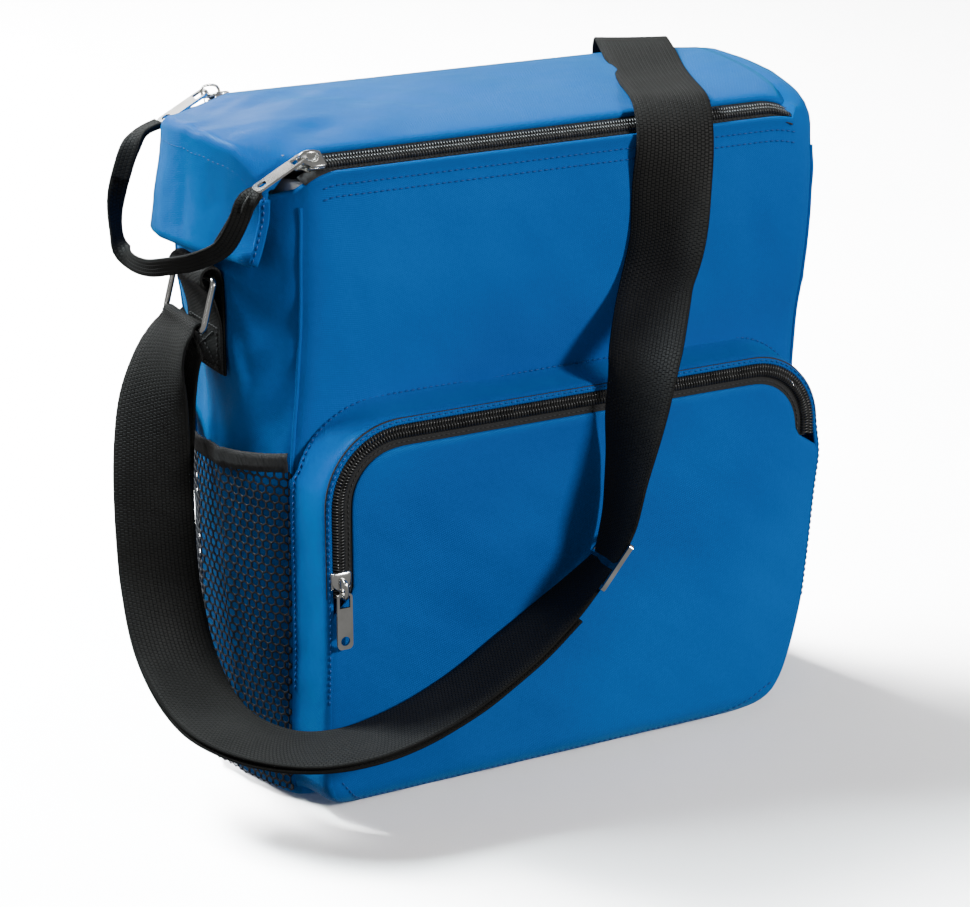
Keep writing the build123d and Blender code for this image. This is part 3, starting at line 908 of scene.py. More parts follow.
lid_up = lid_point(0, 0, 1) - lid_point(0, 0, 0)
front_column = 6
rear_column = len(lid_columns) - 7
for tag, column in (("front", front_column), ("rear", rear_column)):
    route = along_rows(lid_rows, [(i, column) for i in range(0, 76)], 0.15, lid_up)
    cloth_stitches(f"lid_{tag}_stitching", route, "lid")
left_out = Vector((-1, 0, 0))
hem_row = len(lid_rows) - 7
route = along_rows(lid_rows, [(hem_row, j) for j in range(4, len(lid_columns) - 4)], 0.2, left_out)
cloth_stitches("flap_hem_stitching", route, "lid")
route = along_rows(lid_rows, [(hem_row + 2, j) for j in range(4, len(lid_columns) - 4)], 0.2, left_out)
cloth_stitches("flap_hem_stitching_low", route, "lid")
route = along_rows(lid_rows, [(75, j) for j in range(4, len(lid_columns) - 4)], 0.2, lid_up)
cloth_stitches("flap_fold_stitching", route, "lid")
route = along_rows(lid_rows, [(83, j) for j in range(4, len(lid_columns) - 4)], 0.3, left_out)
cloth_stitches("flap_fold_stitching_low", route, "lid")

for tag, drop, side in (("front_upper", 0, -1), ("front_lower", 5.4, -1), ("back", 2, 1)):
    route = []
    for i in range(131):
        x = -131 + 2 * i
        top = LID_HEIGHT + side * HALF_DEPTH * math.tan(LID_TILT) + WALL_END
        route.append(on_wall(x, top - zip_dip(x)[1] * 0.6 - drop, 0.12, side))
    cloth_stitches(f"panel_stitching_{tag}", route)
for side, tag in ((-1, "front"), (1, "back")):
    route = [on_wall(-128 + 2 * i, 14, 0.12, side) for i in range(129)]
    cloth_stitches(f"base_stitching_{tag}", route)
    for end in (-1, 1) if side > 0 else ():
        route = [on_wall(end * 129, 16 + 2 * i, 0.12, side) for i in range(132)]
        name = f"edge_stitching_{tag}_{'left' if end < 0 else 'right'}"
        cloth_stitches(name, route)


def corner_seams():
    """Rolled seams where the front and back panels meet the sides."""
    for sx, sy in ((-1, -1), (1, -1), (-1, 1), (1, 1)):
        tag = ("front" if sy < 0 else "back") + ("_left" if sx < 0 else "_right")
        target = Vector((sx * (HALF_WIDTH + 2), sy * (HALF_DEPTH - 4), 0))
        column = min(range(len(shell_outline)), key=lambda i: (shell_outline[i] - target).length)
        normal = shell_normals[column]
        path = []
        for row in shell_rows[7:-8]:
            p = row[column]
            path.append(p + normal * (0.25 + 0.3 * wander(p.x, 0, p.z, 13.0, 5.0)))
        points, faces = tube(path, 1.0, 8)
        uvs = [(i % 8 * 0.8, p.z) for i, p in enumerate(points)]
        make(f"corner_seam_{tag}", points, faces, "bag", blue, uvs)


def flap_lining():
    """Black cloth behind the end flap, and the bound front edge of the flap."""
    rows = []
    for row in lid_rows[80:-2]:
        rows.append([Vector(p) + Vector((1.5, 0, 0)) for p in row[4:-4]])
    grid("flap_lining", rows, "lid", zip_cloth)
    edge = []
    for row in lid_rows[82:-3]:
        edge.append((Vector(row[3]) + Vector((0.2, -0.4, 0)), Vector((0.75, -0.35, 0.0))))
    ribbon("flap_front_binding", edge, 5.2, 1.5, "lid", blue)
    route = [(p + Vector((-0.8, -0.75, 0)), Vector((-0.5, -0.85, 0))) for p, _ in edge]
    cloth_stitches("flap_binding_stitching", route, "lid")


corner_seams()
flap_lining()


# ---------------------------------------------------------------- zips
def zip_at(side, x, d, h):
    """A point of a top zip: d towards the lid, h above the tape. side -1 is the front."""
    c = math.cos(ZIP_TILT)
    s = math.sin(ZIP_TILT)
    out, down = zip_dip(x)
    y = side * (ZIP_Y - d * c + h * s + out)
    return lid_point(x, y, d * s + h * c - down)


class Station:
    """Where a zip is at one place along it: centre, direction to the lid side, and up."""

    def __init__(self, centre, lateral, up):
        self.centre = centre
        self.lateral = lateral
        self.up = up

    def at(self, d, h):
        return self.centre + self.lateral * d + self.up * h


def between(a, b, t):
    return Station(
        a.centre.lerp(b.centre, t), a.lateral.lerp(b.lateral, t), a.up.lerp(b.up, t)
    )


def top_stations(side, x0, x1):
    out = []
    count = round((x1 - x0) / 2)
    for i in range(count + 1):
        x = lerp(x0, x1, i / count)
        centre = zip_at(side, x, 0, 0)
        out.append(
            Station(centre, zip_at(side, x, 1, 0) - centre, zip_at(side, x, 0, 1) - centre)
        )
    return out


RIB = [(3.05, 0.35), (3.0, 1.5), (2.2, 2.35), (1.0, 2.55), (-0.25, 2.0), (-0.55, 1.2)]


def coil(name, stations, half, body, pitch=1.5):
    """Nylon turns of one half of a zip, as slanted ribs that mesh with the other half."""
    points = []
    faces = []
    lengths = [(b.centre - a.centre).length for a, b in zip(stations, stations[1:])]
    count = int(sum(lengths) / pitch)
    i = 0
    passed = 0.0
    for k in range(count):
        s = (k + (0.25 if half > 0 else 0.75)) * pitch
        while i < len(lengths) - 1 and passed + lengths[i] < s:
            passed += lengths[i]
            i += 1
        here = between(stations[i], stations[i + 1], (s - passed) / lengths[i])
        ahead = (stations[i + 1].centre - stations[i].centre).normalized()
        base = len(points)
        for m, (d, h) in enumerate(RIB):
            slant = (d - 1.2) * 0.18
            wide = 0.50 if m not in (0, 5) else 0.36
            tall = 0.42 if m not in (0, 5) else 0.3
            centre = here.at(half * d, h) + ahead * slant
            lean_in = here.lateral * half * (0.25 if m < 2 else -0.05)
            up = here.up if m > 1 else (here.up * 0.3 + here.lateral * half * 0.95)
            for a, b in ((-1, -0.4), (-0.55, 1), (0.55, 1), (1, -0.4)):
                points.append(centre + ahead * (wide * a) + up * (tall * b) + lean_in * 0.2)
        faces += bridge(len(RIB), 4, base, around=False)
    return make(name, points, faces, body, coil_nylon)


def tape_half(name, stations, near, far, body):
    """One woven tape of a zip."""
    middle = (near + far) / 2
    sections = [(s.at(middle, 0), s.lateral.normalized()) for s in stations]
    return ribbon(name, sections, abs(far - near), 0.8, body, zip_cloth)


def zip_stitches(name, stations, d, body):
    route = [(s.at(d, 0.55), s.up.normalized()) for s in stations]
    return stitches(name, route, body, black_thread, 2.6, 1.9, 0.3)


for tag, side in (("front", -1), ("rear", 1)):
    run = top_stations(side, -124.8, ZIP_END)
    for word, body, half, start in (("lower", "bag", -1, -136.0), ("upper", "lid", 1, -131.0)):
        near, far = sorted((0.5 * half, 7.0 * half))
        node = "body" if body == "bag" else "lid"
        piece = tape_half(f"{tag}_tape_{word}", top_stations(side, start, ZIP_END), near, far, body)
        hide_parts(f"{tag}_zip_tape_{node}")
        piece = coil(f"{tag}_coil_{word}", run, half, body)
        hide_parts(f"{tag}_zip_coil_{node}")
        zip_stitches(f"{tag}_tape_stitching_{word}", run, 4.5 * half, body)


# ---------------------------------------------------------------- front pocket
RIGHT_EDGE = [
    (0.5, 96),
    (4.0, 107),
    (10.0, 115),
    (20.0, 122),
    (38.0, 128),
    (60.0, 133),
    (90.0, 136),
    (121.0, 138.5),
    (140.0, 141),
    (156.0, 138),
]


def pocket_arc(sign, degrees, radius, y):
    """A point on the arc at the pocket's left (-1) or right (1) top corner."""
    a = math.radians(degrees)
    x = sign * (POCKET_X - POCKET_CORNER) + radius * math.cos(a)
    return Vector((x, y, POCKET_TOP - POCKET_CORNER + radius * math.sin(a)))


def pocket_outline():
    """Closed outline of the pocket in (x, z), up the left side, over, and down the right."""
    points = []
    for z in range(16, 156, 4):
        points.append(Vector((-POCKET_X - 2.0 * smooth((100 - z) / 80), 0, float(z))))
    turn_x = POCKET_X - POCKET_CORNER
    for i in range(17):
        points.append(pocket_arc(-1, 180 - 90 * i / 16, POCKET_CORNER, 0))
    for i in range(1, 48):
        points.append(Vector((lerp(-turn_x, turn_x, i / 48), 0, POCKET_TOP)))
    for i in range(17):
        points.append(pocket_arc(1, 90 - 90 * i / 16, POCKET_CORNER, 0))
    for z in range(152, 3, -4):
        points.append(Vector((table(z, RIGHT_EDGE), 0, float(z))))
    for i in range(50):
        points.append(Vector((lerp(94, -124, i / 49), 0, 0.5)))
    points.append(Vector((-133, 0, 3.5)))
    points.append(Vector((-138, 0, 9.0)))
    shift = Vector((POCKET_SHIFT, 0, 0))
    return rounded(resample([p + shift for p in points], 4.0), 2)


pocket_line = pocket_outline()
pocket_count = len(pocket_line)
pocket_inward = []
for i in range(pocket_count):
    step = pocket_line[(i + 1) % pocket_count] - pocket_line[i - 1]
    pocket_inward.append(Vector((step.z, 0, -step.x)).normalized())


def zipped(i):
    """1 where the pocket's edge carries the zip, 0 where the panel is sewn down."""
    p = pocket_line[i]
    if p.z < 20:
        return 0.0
    end = 109.0 if p.x < 0 else 150.0
    return smooth((p.z - end + 4) / 6)


def settle(p):
    """The pocket's front leans back to the floor at its bottom edge."""
    low = max(14.0 - p.z, 0.0)
    p.y += 0.055 * low**2
    return p


def pocket_row(edge, inset, y):
    """One row of cloth that follows the pocket's edge, set in from it."""
    row = []
    for p, inward in zip(edge, pocket_inward):
        q = p + inward * inset
        row.append(settle(Vector((q.x, y, q.z))))
    return row


def pocket_gusset():
    rows = []
    for share, y in ((0.0, -57.4), (0.16, -58.4), (0.4, -62), (0.62, -68), (0.82, -74), (1.0, -79)):
        row = []
        for p, inward in zip(pocket_line, pocket_inward):
            spread = 5.5 if p.x < -130 and p.z < 165 else 3.6
            out = spread * (1 - share) ** 1.3
            ripple = 0.8 * wander(p.x, y, p.z, 19.0, 3.3) * math.sin(math.pi * share)
            low = smooth(1 - p.z / 8)
            q = p - inward * ((out + ripple) * (1 - low))
            q.z = max(q.z, 0.5)
            row.append(settle(Vector((q.x, y, q.z))))
        rows.append(row)
    lip = [(0.9, -81.4), (2.2, -82.6), (3.3, -82.9), (4.0, -82.5), (4.2, -81.9), (3.9, -81.85)]
    rows += [pocket_row(pocket_line, inset, y) for inset, y in lip]
    skin = grid("pocket_gusset_skin", rows, "bag", blue, around=True)
    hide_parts("pocket_gusset")
    return rows


def pocket_front(p, r):
    """Depth of the panel's cloth at p; r is 0 in the middle and 1 at the edge."""
    fill = 4.2 * (1 - r**2.2)
    wave = 0.9 * wander(p.x, 0, p.z, 47.0, 8.0) + 0.5 * wander(p.x, 0, p.z, 19.0, 5.5)
    wave += 0.4 * wander(p.x * 0.6 + p.z * 0.8, 0, p.x * 0.2, 12.0, 1.0)
    return -83.0 - fill - wave * (1 - r**6)


def pocket_panel():
    rows = []
    edges = []
    for i, (p, inward) in enumerate(zip(pocket_line, pocket_inward)):
        inset = lerp(2.9, 14.6, zipped(i))
        edges.append(p + inward * inset)
    edges = rounded(edges, 1)
    for extra, y in ((0.5, -81.85), (0.0, -81.95), (-0.2, -82.5), (0.5, -83.0)):
        rows.append(pocket_row(edges, extra, y))
    for k in range(1, 30):
        r = 1 - k / 29
        row = []
        for e, inward in zip(edges, pocket_inward):
            start = e + inward * 0.9
            core = Vector((min(max(e.x * 0.8, -70), 70), 0, 85.0))
            q = core.lerp(start, r)
            row.append(settle(Vector((q.x, pocket_front(q, r), q.z))))
        rows.append(row)
    skin = grid(
        "pocket_panel_skin", rows, "bag", blue, around=True, flat=True
    )
    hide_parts("pocket_panel")


gusset_rows = pocket_gusset()
pocket_panel()


def arch_stations(inset, left_end, right_end):
    """Stations along the pocket zip, from its left end over the top to its right end."""
    out = []
    x = POCKET_X - inset
    radius = POCKET_CORNER - inset
    turn_z = POCKET_TOP - POCKET_CORNER
    turn_x = POCKET_X - POCKET_CORNER
    up = Vector((0, -1, 0))
    z = left_end
    while z < turn_z:
        out.append(Station(Vector((-x, POCKET_FACE, z)), Vector((1, 0, 0)), up))
        z += 2.0
    for i in range(25):
        a = math.radians(180 - 90 * i / 24)
        lateral = Vector((-math.cos(a), 0, -math.sin(a)))
        out.append(Station(pocket_arc(-1, 180 - 90 * i / 24, radius, POCKET_FACE), lateral, up))
    for i in range(1, 96):
        centre = Vector((lerp(-turn_x, turn_x, i / 96), POCKET_FACE, POCKET_TOP - inset))
        out.append(Station(centre, Vector((0, 0, -1)), up))
    for i in range(25):
        a = math.radians(90 - 90 * i / 24)
        lateral = Vector((-math.cos(a), 0, -math.sin(a)))
        out.append(Station(pocket_arc(1, 90 - 90 * i / 24, radius, POCKET_FACE), lateral, up))
    if right_end < turn_z:
        out.append(Station(Vector((x, POCKET_FACE, right_end)), Vector((-1, 0, 0)), up))
    for station in out:
        station.centre.x += POCKET_SHIFT
    return out


pocket_run = arch_stations(POCKET_ZIP_INSET, POCKET_ZIP_LEFT_END, POCKET_ZIP_RIGHT_END)
for tag, near, far, half in (("outer", -6.4, -0.5, -1), ("inner", 0.5, 9.6, 1)):
    piece = tape_half(f"pocket_tape_{tag}", pocket_run, near, far, "bag")
    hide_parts(f"pocket_zip_tape_{tag}")
    piece = coil(f"pocket_coil_{tag}", pocket_run, half, "bag")
    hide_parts(f"pocket_zip_coil_{tag}")
zip_stitches("pocket_tape_stitching", pocket_run, 5.6, "bag")

front_out = Vector((0, -1, 0))
arch = [i for i in range(pocket_count) if pocket_line[i].z > 60]
for tag, row in (("back", 1), ("front", 7)):
    route = []
    for i in arch:
        p = gusset_rows[row][i]
        normal = -pocket_inward[i] * (0.8 if row == 1 else 0.2) + front_out * 0.6
        normal.normalize()
        route.append((p + normal * 0.2, normal))
    cloth_stitches(f"pocket_{tag}_stitching", route)
bottom_route = []
for i in range(120):
    x = lerp(-134, 112, i / 119)
    z = 5.5 + 18.0 * smooth((-122 - x) / 20) + 15.0 * smooth((x - 80) / 40)
    q = settle(Vector((x, pocket_front(Vector((x, 0, z)), 0.97) - 0.15, z)))
    bottom_route.append((q, Vector((0, -1, 0))))
cloth_stitches("pocket_bottom_stitching", bottom_route)


# ---------------------------------------------------------------- side net pocket
NET_TOP = 168.0
HEM = 8.5


def net_point(s, z):
    """A point of the net: s is the distance round the side from its middle."""
    angle = s / (SIDE_RADIUS + 4)
    edge = min(abs(s) / 57.0, 1.0)
    fullness = (1 - edge**3) * lerp(0.35, 1.0, smooth(z / 110))
    fullness *= 1 - 0.85 * smooth((s - 2) / 40)
    out = 1.4 + 6.2 * fullness
    fold = 2.0 * math.exp(-(((s + 3 - z * 0.05) / 3.6) ** 2)) * smooth((165 - z) / 60)
    fold += 1.1 * math.exp(-(((s + 24 - z * 0.03) / 3.0) ** 2))
    out += fold + 0.9 * wander(s, z * 0.35, 0, 12.0, 7.7) * (1 - edge**4)
    radius = SIDE_RADIUS + out
    x = -SIDE_CENTRE - radius * math.cos(angle)
    y = radius * math.sin(angle)
    return Vector((x + lean(x, y, z) * 0.9, y, z))


def net():
    """Knitted net of rounded hexagonal cells over the left side."""
    pitch = 4.6
    reach = 57.5
    cell = pitch / math.sqrt(3)
    hole = 0.76
    yarn = 0.5
    points = []
    faces = []
    known = {}

    def corner(s, z):
        key = (round(s, 1), round(z, 1))
        if key not in known:
            known[key] = len(points)
            points.append(net_point(min(max(s, -reach), reach), min(max(z, 5.0), NET_TOP + 4)))
        return known[key]

    row = 0
    z = 6.0
    while z < NET_TOP + 2:
        s = -reach + (pitch / 2 if row % 2 else 0.0)
        while s < reach:
            outer = []
            inner = []
            for k in range(6):
                a = math.radians(30 + 60 * k)
                outer.append(corner(s + cell * math.cos(a), z + cell * math.sin(a)))
                b = net_point(s + cell * hole * math.cos(a), z + cell * hole * math.sin(a))
                inner.append(len(points))
                points.append(b)
            for k in range(6):
                m = (k + 1) % 6
                faces.append((outer[k], inner[k], inner[m], outer[m]))
            s += pitch
        z += cell * 1.5
        row += 1
    piece = make("net_pocket", points, faces, "bag", net_cloth)
    thicken(piece, yarn, 0.0)
    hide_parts("mesh_pocket")
    rows = []
    for z in (NET_TOP - 0.5, NET_TOP + HEM * 0.33, NET_TOP + HEM * 0.66, NET_TOP + HEM):
        row = []
        for i in range(61):
            s = lerp(-reach, reach, i / 60)
            sag = 4.0 * math.cos(s / reach * math.pi / 2)
            gather = 0.35 * math.sin(s * 1.9 + z)
            p = net_point(s, z)
            out = Vector((p.x + SIDE_CENTRE, p.y, 0)).normalized()
            row.append(Vector((p.x, p.y, z - sag)) + out * (0.9 + gather))
        rows.append(row)
    hem = grid("net_pocket_hem", rows, "bag", elastic_cloth, thick=1.3, offset=0.0)
    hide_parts("mesh_pocket_hem")


net()


# ---------------------------------------------------------------- sliders
def slider(name, place, body):
    """A cast zip slider: waisted top and bottom plates, side flanges, and its bail."""
    points = []
    faces = []
    widths = [(0, 1.1), (2.6, 1.2), (3.8, 1.8), (5.0, 3.4), (6.4, 4.6)]
    widths += [(8, 5), (11.6, 5), (12.6, 4.6), (13, 3.8)]

    def plate_solid(levels, scale):
        base = len(points)
        ring = [(x, w) for x, w in widths] + [(x, -w) for x, w in reversed(widths)]
        count = len(ring)
        for shrink, h in levels:
            for x, w in ring:
                px = 6.8 + (x - 6.8) * (0.5 + 0.5 * shrink)
                points.append(place(px, w * shrink * scale, h))
        faces.extend(bridge(len(levels), count, base))
        for k, flip in ((0, True), (len(levels) - 1, False)):
            a = base + k * count
            half = count // 2
            for i in range(half - 1):
                quad = (a + i, a + i + 1, a + count - 2 - i, a + count - 1 - i)
                faces.append(tuple(reversed(quad)) if flip else quad)

    plate_solid([(0.9, 2.95), (1.0, 3.2), (1.0, 3.9), (0.93, 4.4), (0.72, 4.75), (0.4, 4.9)], 1.0)
    plate_solid([(0.8, -2.25), (0.95, -2.0), (1.0, -1.5), (0.96, -0.78)], 0.9)
    for sign in (-1, 1):
        base = len(points)
        for x, trim in ((4.8, 0.3), (5.6, 0), (12.0, 0), (12.6, 0.3)):
            for d, h in ((3.75, 1.25), (4.9 - trim, 1.25), (4.95 - trim, 3.1), (3.75, 3.1)):
                points.append(place(x, sign * d, h))
        faces += bridge(4, 4, base)
        faces.append(tuple(base + q for q in range(4)))
        faces.append(tuple(base + 12 + q for q in range(4)))
    arch_line = [(0.6, 3.6), (0.55, 5.2), (0.7, 7.2), (1.5, 8.5), (3.0, 9.05), (5.0, 9.2)]
    arch_line += [(7.2, 9.0), (8.8, 8.3), (9.6, 6.8), (9.65, 5.2), (9.6, 3.8)]
    bar, bar_faces = tube([Vector((x, 0, h)) for x, h in arch_line], 0.62, 10)
    base = len(points)
    points.extend(place(p.x, p.y * 1.75, p.z) for p in bar)
    faces.extend(tuple(base + i for i in f) for f in bar_faces)
    post, post_faces = tube([Vector((1.2, 0, h)) for h in (-0.8, 1.0, 3.2)], 0.34, 8)
    base = len(points)
    points.extend(place(p.x, p.y, p.z) for p in post)
    faces.extend(tuple(base + i for i in f) for f in post_faces)
    return make(name, points, faces, body, metal)


def top_place(side):
    def place(x, d, h):
        c = math.cos(ZIP_TILT)
        s = math.sin(ZIP_TILT)
        return lid_point(-137.5 + x, side * (ZIP_Y - d * c + h * s), d * s + h * c)

    return place


def pocket_place(x, d, h):
    slider_z = POCKET_ZIP_LEFT_END + 1.0
    return Vector((POCKET_SHIFT - POCKET_X + POCKET_ZIP_INSET - d, POCKET_FACE - h, slider_z + x))


for name, place, body in (
    ("front_slider", top_place(-1), "front_slider"),
    ("rear_slider", top_place(1), "rear_slider"),
    ("pocket_slider", pocket_place, "pocket_slider"),
):
    piece = slider(f"{name}_cast", place, body)
    smooth_edges = piece.modifiers.new("soft edges", "BEVEL")
    smooth_edges.width = 0.12 * MM
    smooth_edges.segments = 2
    smooth_edges.limit_method = "ANGLE"
    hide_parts(name)

for node in (
    "front_pull_tab",
    "rear_pull_tab",
    "pocket_pull_tab",
    "left_ring",
    "right_ring",
    "strap_adjuster",
):
    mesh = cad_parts[node].data
    for i in range(len(mesh.materials)):
        mesh.materials[i] = metal


# ---------------------------------------------------------------- webbing
RING_X = 165.0
RING_Y = 3.0
RING_Z = 254.0
RING_DROP = 25.0
LOW_BAR = Vector(
    (
        -RING_X - RING_DROP * math.sin(math.radians(15)),
        RING_Y,
        RING_Z - RING_DROP * math.cos(math.radians(15)),
    )
)


def sections_of(route):
    return [(Vector(middle), Vector(across)) for middle, across in route]


def fold_over(sign):
    """Strap sections over a ring's lower bar, from the inside outwards."""
    out = []
    for angle in range(-30, 181, 30):
        a = math.radians(angle)
        x = -sign * (-LOW_BAR.x - 3.0 * math.cos(a))
        out.append((Vector((x, RING_Y, LOW_BAR.z + 3.0 * math.sin(a))), Vector((0, 1, 0))))
    return out


SIDE_ROUTE = sections_of(
    [
        ((-177.5, 4, 224), (0.0, 1.0, 0)),
        ((-182.5, 8, 208), (-0.3, 0.95, 0)),
        ((-186.5, 9, 186), (-0.62, 0.78, 0)),
        ((-189.0, 7, 158), (-0.8, 0.6, 0)),
        ((-190.0, 4, 128), (-0.86, 0.5, 0)),
        ((-190.0, -1, 98), (-0.93, 0.36, 0)),
        ((-189.0, -14, 71), (-0.99, 0.1, 0)),
        ((-186.5, -37, 53), (-0.98, -0.2, 0)),
        ((-180.5, -62, 46), (-0.87, -0.5, 0)),
        ((-164.0, -88, 44), (-0.55, -0.83, 0)),
        ((-141.0, -104, 47), (-0.12, -0.99, 0)),
        ((-111.5, -107, 52), (0, -1, 0)),
        ((-81.5, -107, 63), (0, -1, 0)),
        ((-53.5, -107, 79), (0, -1, 0)),
        ((-28.5, -107, 96), (-0.1, -0.99, 0.05)),
    ]
)
ADJUSTER = sections_of([((-5.0, -107.5, 115.5), (-0.3, -0.94, 0.15))])
FRONT_ROUTE = sections_of(
    [
        ((2.5, -107.5, 134.5), (-0.15, -0.99, 0)),
        ((6.5, -107.5, 158.5), (0.0, -1, 0)),
        ((11.0, -107.0, 185), (0.26, -0.96, 0)),
        ((18.0, -103.0, 210), (0.42, -0.91, 0)),
        ((39.0, -78.0, 236), (0.52, -0.85, 0)),
        ((48.0, -74.0, 259), (0.64, -0.77, 0)),
        ((53.0, -69.0, 285), (0.86, -0.5, 0)),
        ((55.5, -67.0, 303), (0.95, -0.3, 0)),
        ((57.0, -63.0, 316), (0.96, -0.25, 0)),
        ((61.5, -51.0, 323.0), (0.94, -0.33, 0)),
        ((73.0, -22.0, 323.8), (0.92, -0.39, 0)),
        ((86.0, 10.0, 325.3), (0.92, -0.39, 0)),
        ((100.0, 44.0, 329.5), (0.92, -0.39, 0)),
        ((106.0, 58.0, 329.0), (0.93, -0.36, 0)),
        ((111.0, 68.0, 318.0), (0.95, -0.25, 0.1)),
    ]
)
BACK_ROUTE = sections_of(
    [
        ((118.0, 73.0, 296), (0.93, -0.1, 0.3)),
        ((129.0, 77.0, 264), (0.9, 0.0, 0.35)),
        ((142.0, 80.0, 234), (0.85, -0.1, 0.4)),
        ((155.0, 79.0, 209), (0.75, -0.4, 0.5)),
        ((168.0, 69.0, 193), (0.6, -0.7, 0.35)),
        ((177.0, 52.0, 189), (0.4, -0.88, 0.15)),
        ((179.5, 38.0, 201), (0.28, -0.96, 0)),
        ((175.5, 31.5, 218), (0.225, -0.974, 0)),
    ]
)


def behind(p, centre=SIDE_CENTRE):
    """Moves a point round the right side to where the right ring is sewn."""
    c = math.cos(RIGHT_TURN)
    s = math.sin(RIGHT_TURN)
    x = p.x - centre
    return Vector((centre + x * c - p.y * s, x * s + p.y * c, p.z))


def strap():
    """Shoulder strap: the doubled lower stretch stays with the bag, the upper one goes
    over the front and the lid to the right ring."""
    start = fold_over(1)
    lower = start + SIDE_ROUTE + ADJUSTER
    piece = webbing("strap_lower", spline(lower, 4.0), STRAP_WIDE, WEBBING, "bag", 0.3, 0.5)
    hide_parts("shoulder_strap")
    end = [(behind(p), -behind(across, 0)) for p, across in reversed(fold_over(-1))]
    upper = ADJUSTER + FRONT_ROUTE + BACK_ROUTE + end
    smooth_upper = spline(upper, 4.0)
    piece = webbing("strap_upper", smooth_upper, STRAP_WIDE, WEBBING, None, 0.3, 0.5)
    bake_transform(piece)
    inner = [(start[0][0] + Vector((1.5, 0, -4.4)), Vector((0, 1, 0)))]
    first = len(start) + 1
    for i in range(first, len(lower) - 1):
        point, across = lower[i]
        ahead = lower[i + 1][0] - lower[i - 1][0]
        normal = ahead.cross(across).normalized()
        gap = max(WEBBING + 1.2, 9.0 - 1.6 * (i - first))
        inner.append((point + normal * gap, across))
    piece = webbing("strap_return", spline(inner, 4.0), STRAP_WIDE, WEBBING, "bag", 0.3, 0.4)
    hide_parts("strap_return_layer")
    end_frames = frames(smooth_upper)[-26:-8]
    for tag, offset in (("a", 15.0), ("b", -15.0), ("c", 5.0), ("d", -5.0)):
        for face in (-1, 1):
            route = []
            for middle, side, normal, _ in end_frames:
                lift = WEBBING / 2 + 0.1
                route.append((middle + side * offset + normal * (face * lift), normal * face))
            word = "in" if face < 0 else "out"
            stitches(f"strap_end_stitching_{tag}_{word}", route, "bag", black_thread)


strap()


def chape(name, sign):
    """Webbing folded round the ring's top bar and sewn to the side."""
    wall = RING_X - 5.8
    path = [(wall, z) for z in (206, 214, 222, 230, 238, 246, 252)]
    for angle in range(180, -46, -15):
        a = math.radians(angle)
        path.append((RING_X + 5.2 * math.cos(a), RING_Z + 5.2 * math.sin(a)))
    path += [(166.0, 247.5), (164.0, 243), (162.5, 238), (161.3, 233), (160.9, 228)]
    path += [(160.8, 220), (160.8, 212), (160.8, 207)]
    sections = [
        (Vector((sign * x, RING_Y, z)), Vector((0, -sign, 0))) for x, z in path
    ]
    if sign > 0:
        sections = [(behind(p), behind(across, 0)) for p, across in sections]
    piece = webbing(name, spline(sections, 3.0), CHAPE_WIDE, 1.5, "bag", 0.0, 0.25)
    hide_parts("left_chape" if sign < 0 else "right_chape")
    face = Vector((sign, 0, 0))
    x = sign * (160.8 + 0.95)
    square = [(-16, 209), (16, 209), (16, 229), (-16, 229)]
    square += [(-16, 209), (16, 229), (16, 209), (-16, 229)]
    route = []
    for (y0, z0), (y1, z1) in zip(square, square[1:]):
        for k in range(8):
            p = Vector((x, RING_Y + lerp(y0, y1, k / 8), lerp(z0, z1, k / 8)))
            route.append((p, face) if sign < 0 else (behind(p), behind(face, 0)))
    stitches(f"{name}_stitching", route, "bag", black_thread, 2.8, 2.0, 0.4)


chape("left_chape_webbing", -1)
chape("right_chape_webbing", 1)

PULL_ROUTE = sections_of(
    [
        ((-156.5, -53.5, 303.6), (0, 1, 0)),
        ((-160.0, -53.0, 301.0), (-0.05, 0.8, 0.5)),
        ((-163.0, -51.5, 296.5), (-0.3, 0.3, 0.9)),
        ((-164.8, -47.5, 287.0), (-0.6, 0, 0.8)),
        ((-167.5, -36.0, 273.5), (-0.6, 0, 0.8)),
        ((-174.5, -20.0, 264.5), (-0.5, 0, 0.85)),
        ((-180.5, -3.0, 259.0), (-0.4, 0, 0.9)),
        ((-185.0, 13.0, 255.0), (-0.3, 0.2, 0.9)),
        ((-187.5, 29.0, 255.5), (0, 0.5, 0.85)),
        ((-188.5, 40.0, 262.5), (0.5, 0.6, 0.4)),
        ((-187.0, 46.5, 275.0), (0.85, 0.3, 0)),
        ((-183.0, 49.0, 289.0), (0.88, -0.3, 0)),
        ((-176.5, 51.0, 302.5), (0.8, -0.48, 0)),
        ((-169.5, 52.0, 309.5), (0.4, -0.8, 0.2)),
        ((-160.0, 52.5, 312.8), (0.1, -1.0, 0)),
    ]
)
pull = webbing("pull_loop_webbing", spline(PULL_ROUTE, 2.5), PULL_WIDE, 1.4, "zip_pull", 0.1, 0.3)
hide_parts("zip_pull_webbing")
for tag, part, flip in (("front", PULL_ROUTE[0:5], 1), ("rear", PULL_ROUTE[-4:], -1)):
    doubled = []
    for middle, side, normal, _ in frames(part):
        doubled.append((middle + normal * 1.7 * flip, side))
    webbing(f"pull_loop_fold_{tag}", spline(doubled, 2.5), 9.9, 1.7, "zip_pull", 0.2, 0.6)
    tack = []
    for middle, _, normal, _ in frames(spline(part, 1.2))[6:14]:
        tack.append((middle - normal * 0.85 * flip, -normal * flip))
    stitches(f"pull_loop_tack_{tag}", tack, "zip_pull", black_thread, 1.6, 3.0, 0.4)


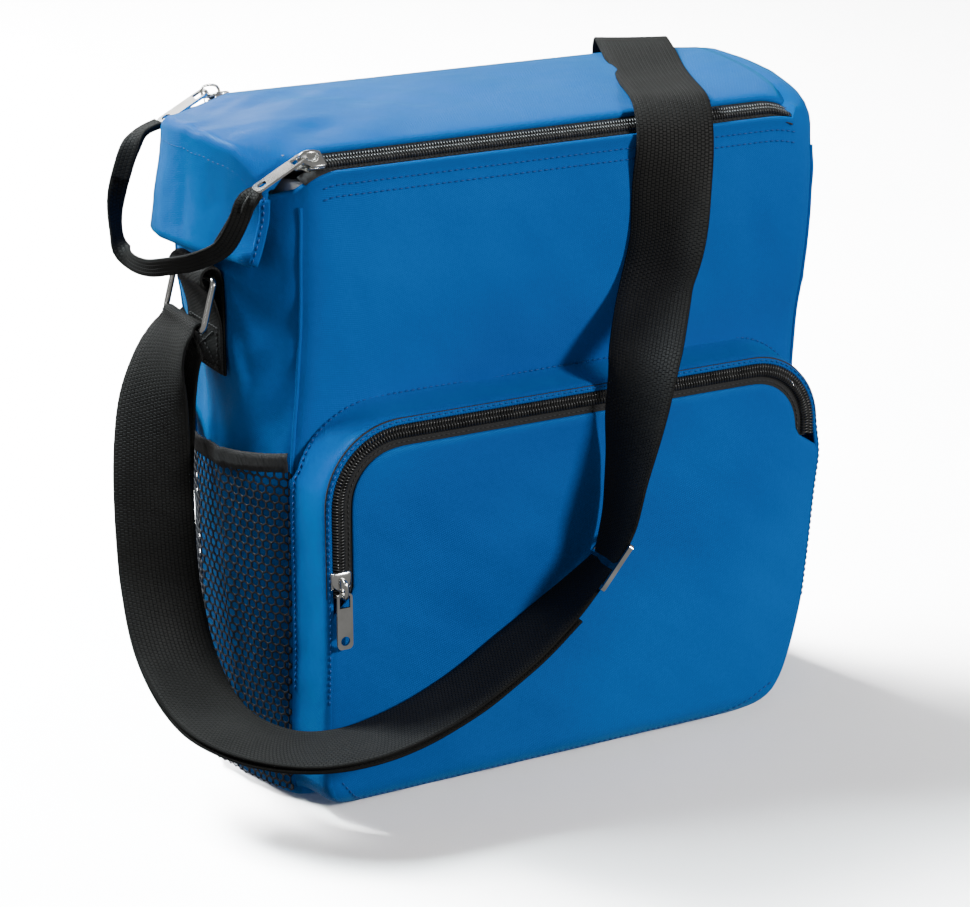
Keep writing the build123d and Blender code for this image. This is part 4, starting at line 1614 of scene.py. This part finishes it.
# ---------------------------------------------------------------- floor, light, world
def area(name, place, aim, size, power, colour=(1, 1, 1)):
    """A soft rectangular lamp; place, aim and size are in metres and power in watts."""
    data = bpy.data.lights.new(name, "AREA")
    data.shape = "RECTANGLE"
    data.size, data.size_y = size
    data.energy = power
    data.color = colour
    lamp = bpy.data.objects.new(name, data)
    lamp.location = place
    direction = Vector(aim) - Vector(place)
    lamp.rotation_euler = direction.to_track_quat("-Z", "Y").to_euler()
    bpy.context.scene.collection.objects.link(lamp)
    return lamp


def studio():
    """A white floor lit by its own lamp, which does not light the bag, and the bag's lamps."""
    mesh = bpy.data.meshes.new("floor")
    size = 6.0
    mesh.from_pydata(
        [(-size, -size, 0), (size, -size, 0), (size, size, 0), (-size, size, 0)], [], [(0, 1, 2, 3)]
    )
    paint = Nodes("pale_floor", 0.75)
    paint.colour(paint.ramp(paint.noise("Object", 3.0), (0.86, 0.86, 0.865), (0.89, 0.89, 0.89)))
    paint.shader.inputs["Specular IOR Level"].default_value = 0.2
    mesh.materials.append(paint.material)
    floor = bpy.data.objects.new("floor", mesh)
    bpy.context.scene.collection.objects.link(floor)
    floor.visible_diffuse = False
    floor.visible_glossy = False
    world = bpy.data.worlds.new("studio")
    bpy.context.scene.world = world
    world.use_nodes = True
    sky = world.node_tree.nodes["Background"]
    sky.inputs["Color"].default_value = (1.0, 1.0, 1.0, 1)
    sky.inputs["Strength"].default_value = 0.24
    sweep = bpy.data.collections.new("floor_only")
    sweep.objects.link(floor)
    wash = area("floor_wash", (-0.9, 2.1, 2.7), (0, 0, 0), (1.3, 1.3), 2100)
    wash.light_linking.receiver_collection = sweep
    area("key", (-0.75, 0.55, 1.5), (0, 0, 0.2), (0.4, 0.4), 58, (0.86, 0.96, 1.0))
    area("rim", (0.15, 2.0, 1.25), (-0.1, 0, 0.3), (1.2, 0.6), 16)
    area("front", (0.75, -1.7, 1.0), (0, 0, 0.15), (0.3, 0.3), 38)
    area("left_rake", (-1.0, 1.2, 0.95), (-0.15, 0, 0.2), (0.3, 0.3), 17)
    area("left_fill", (-1.7, -0.9, 0.7), (0, 0, 0.15), (0.5, 0.5), 2)


studio()
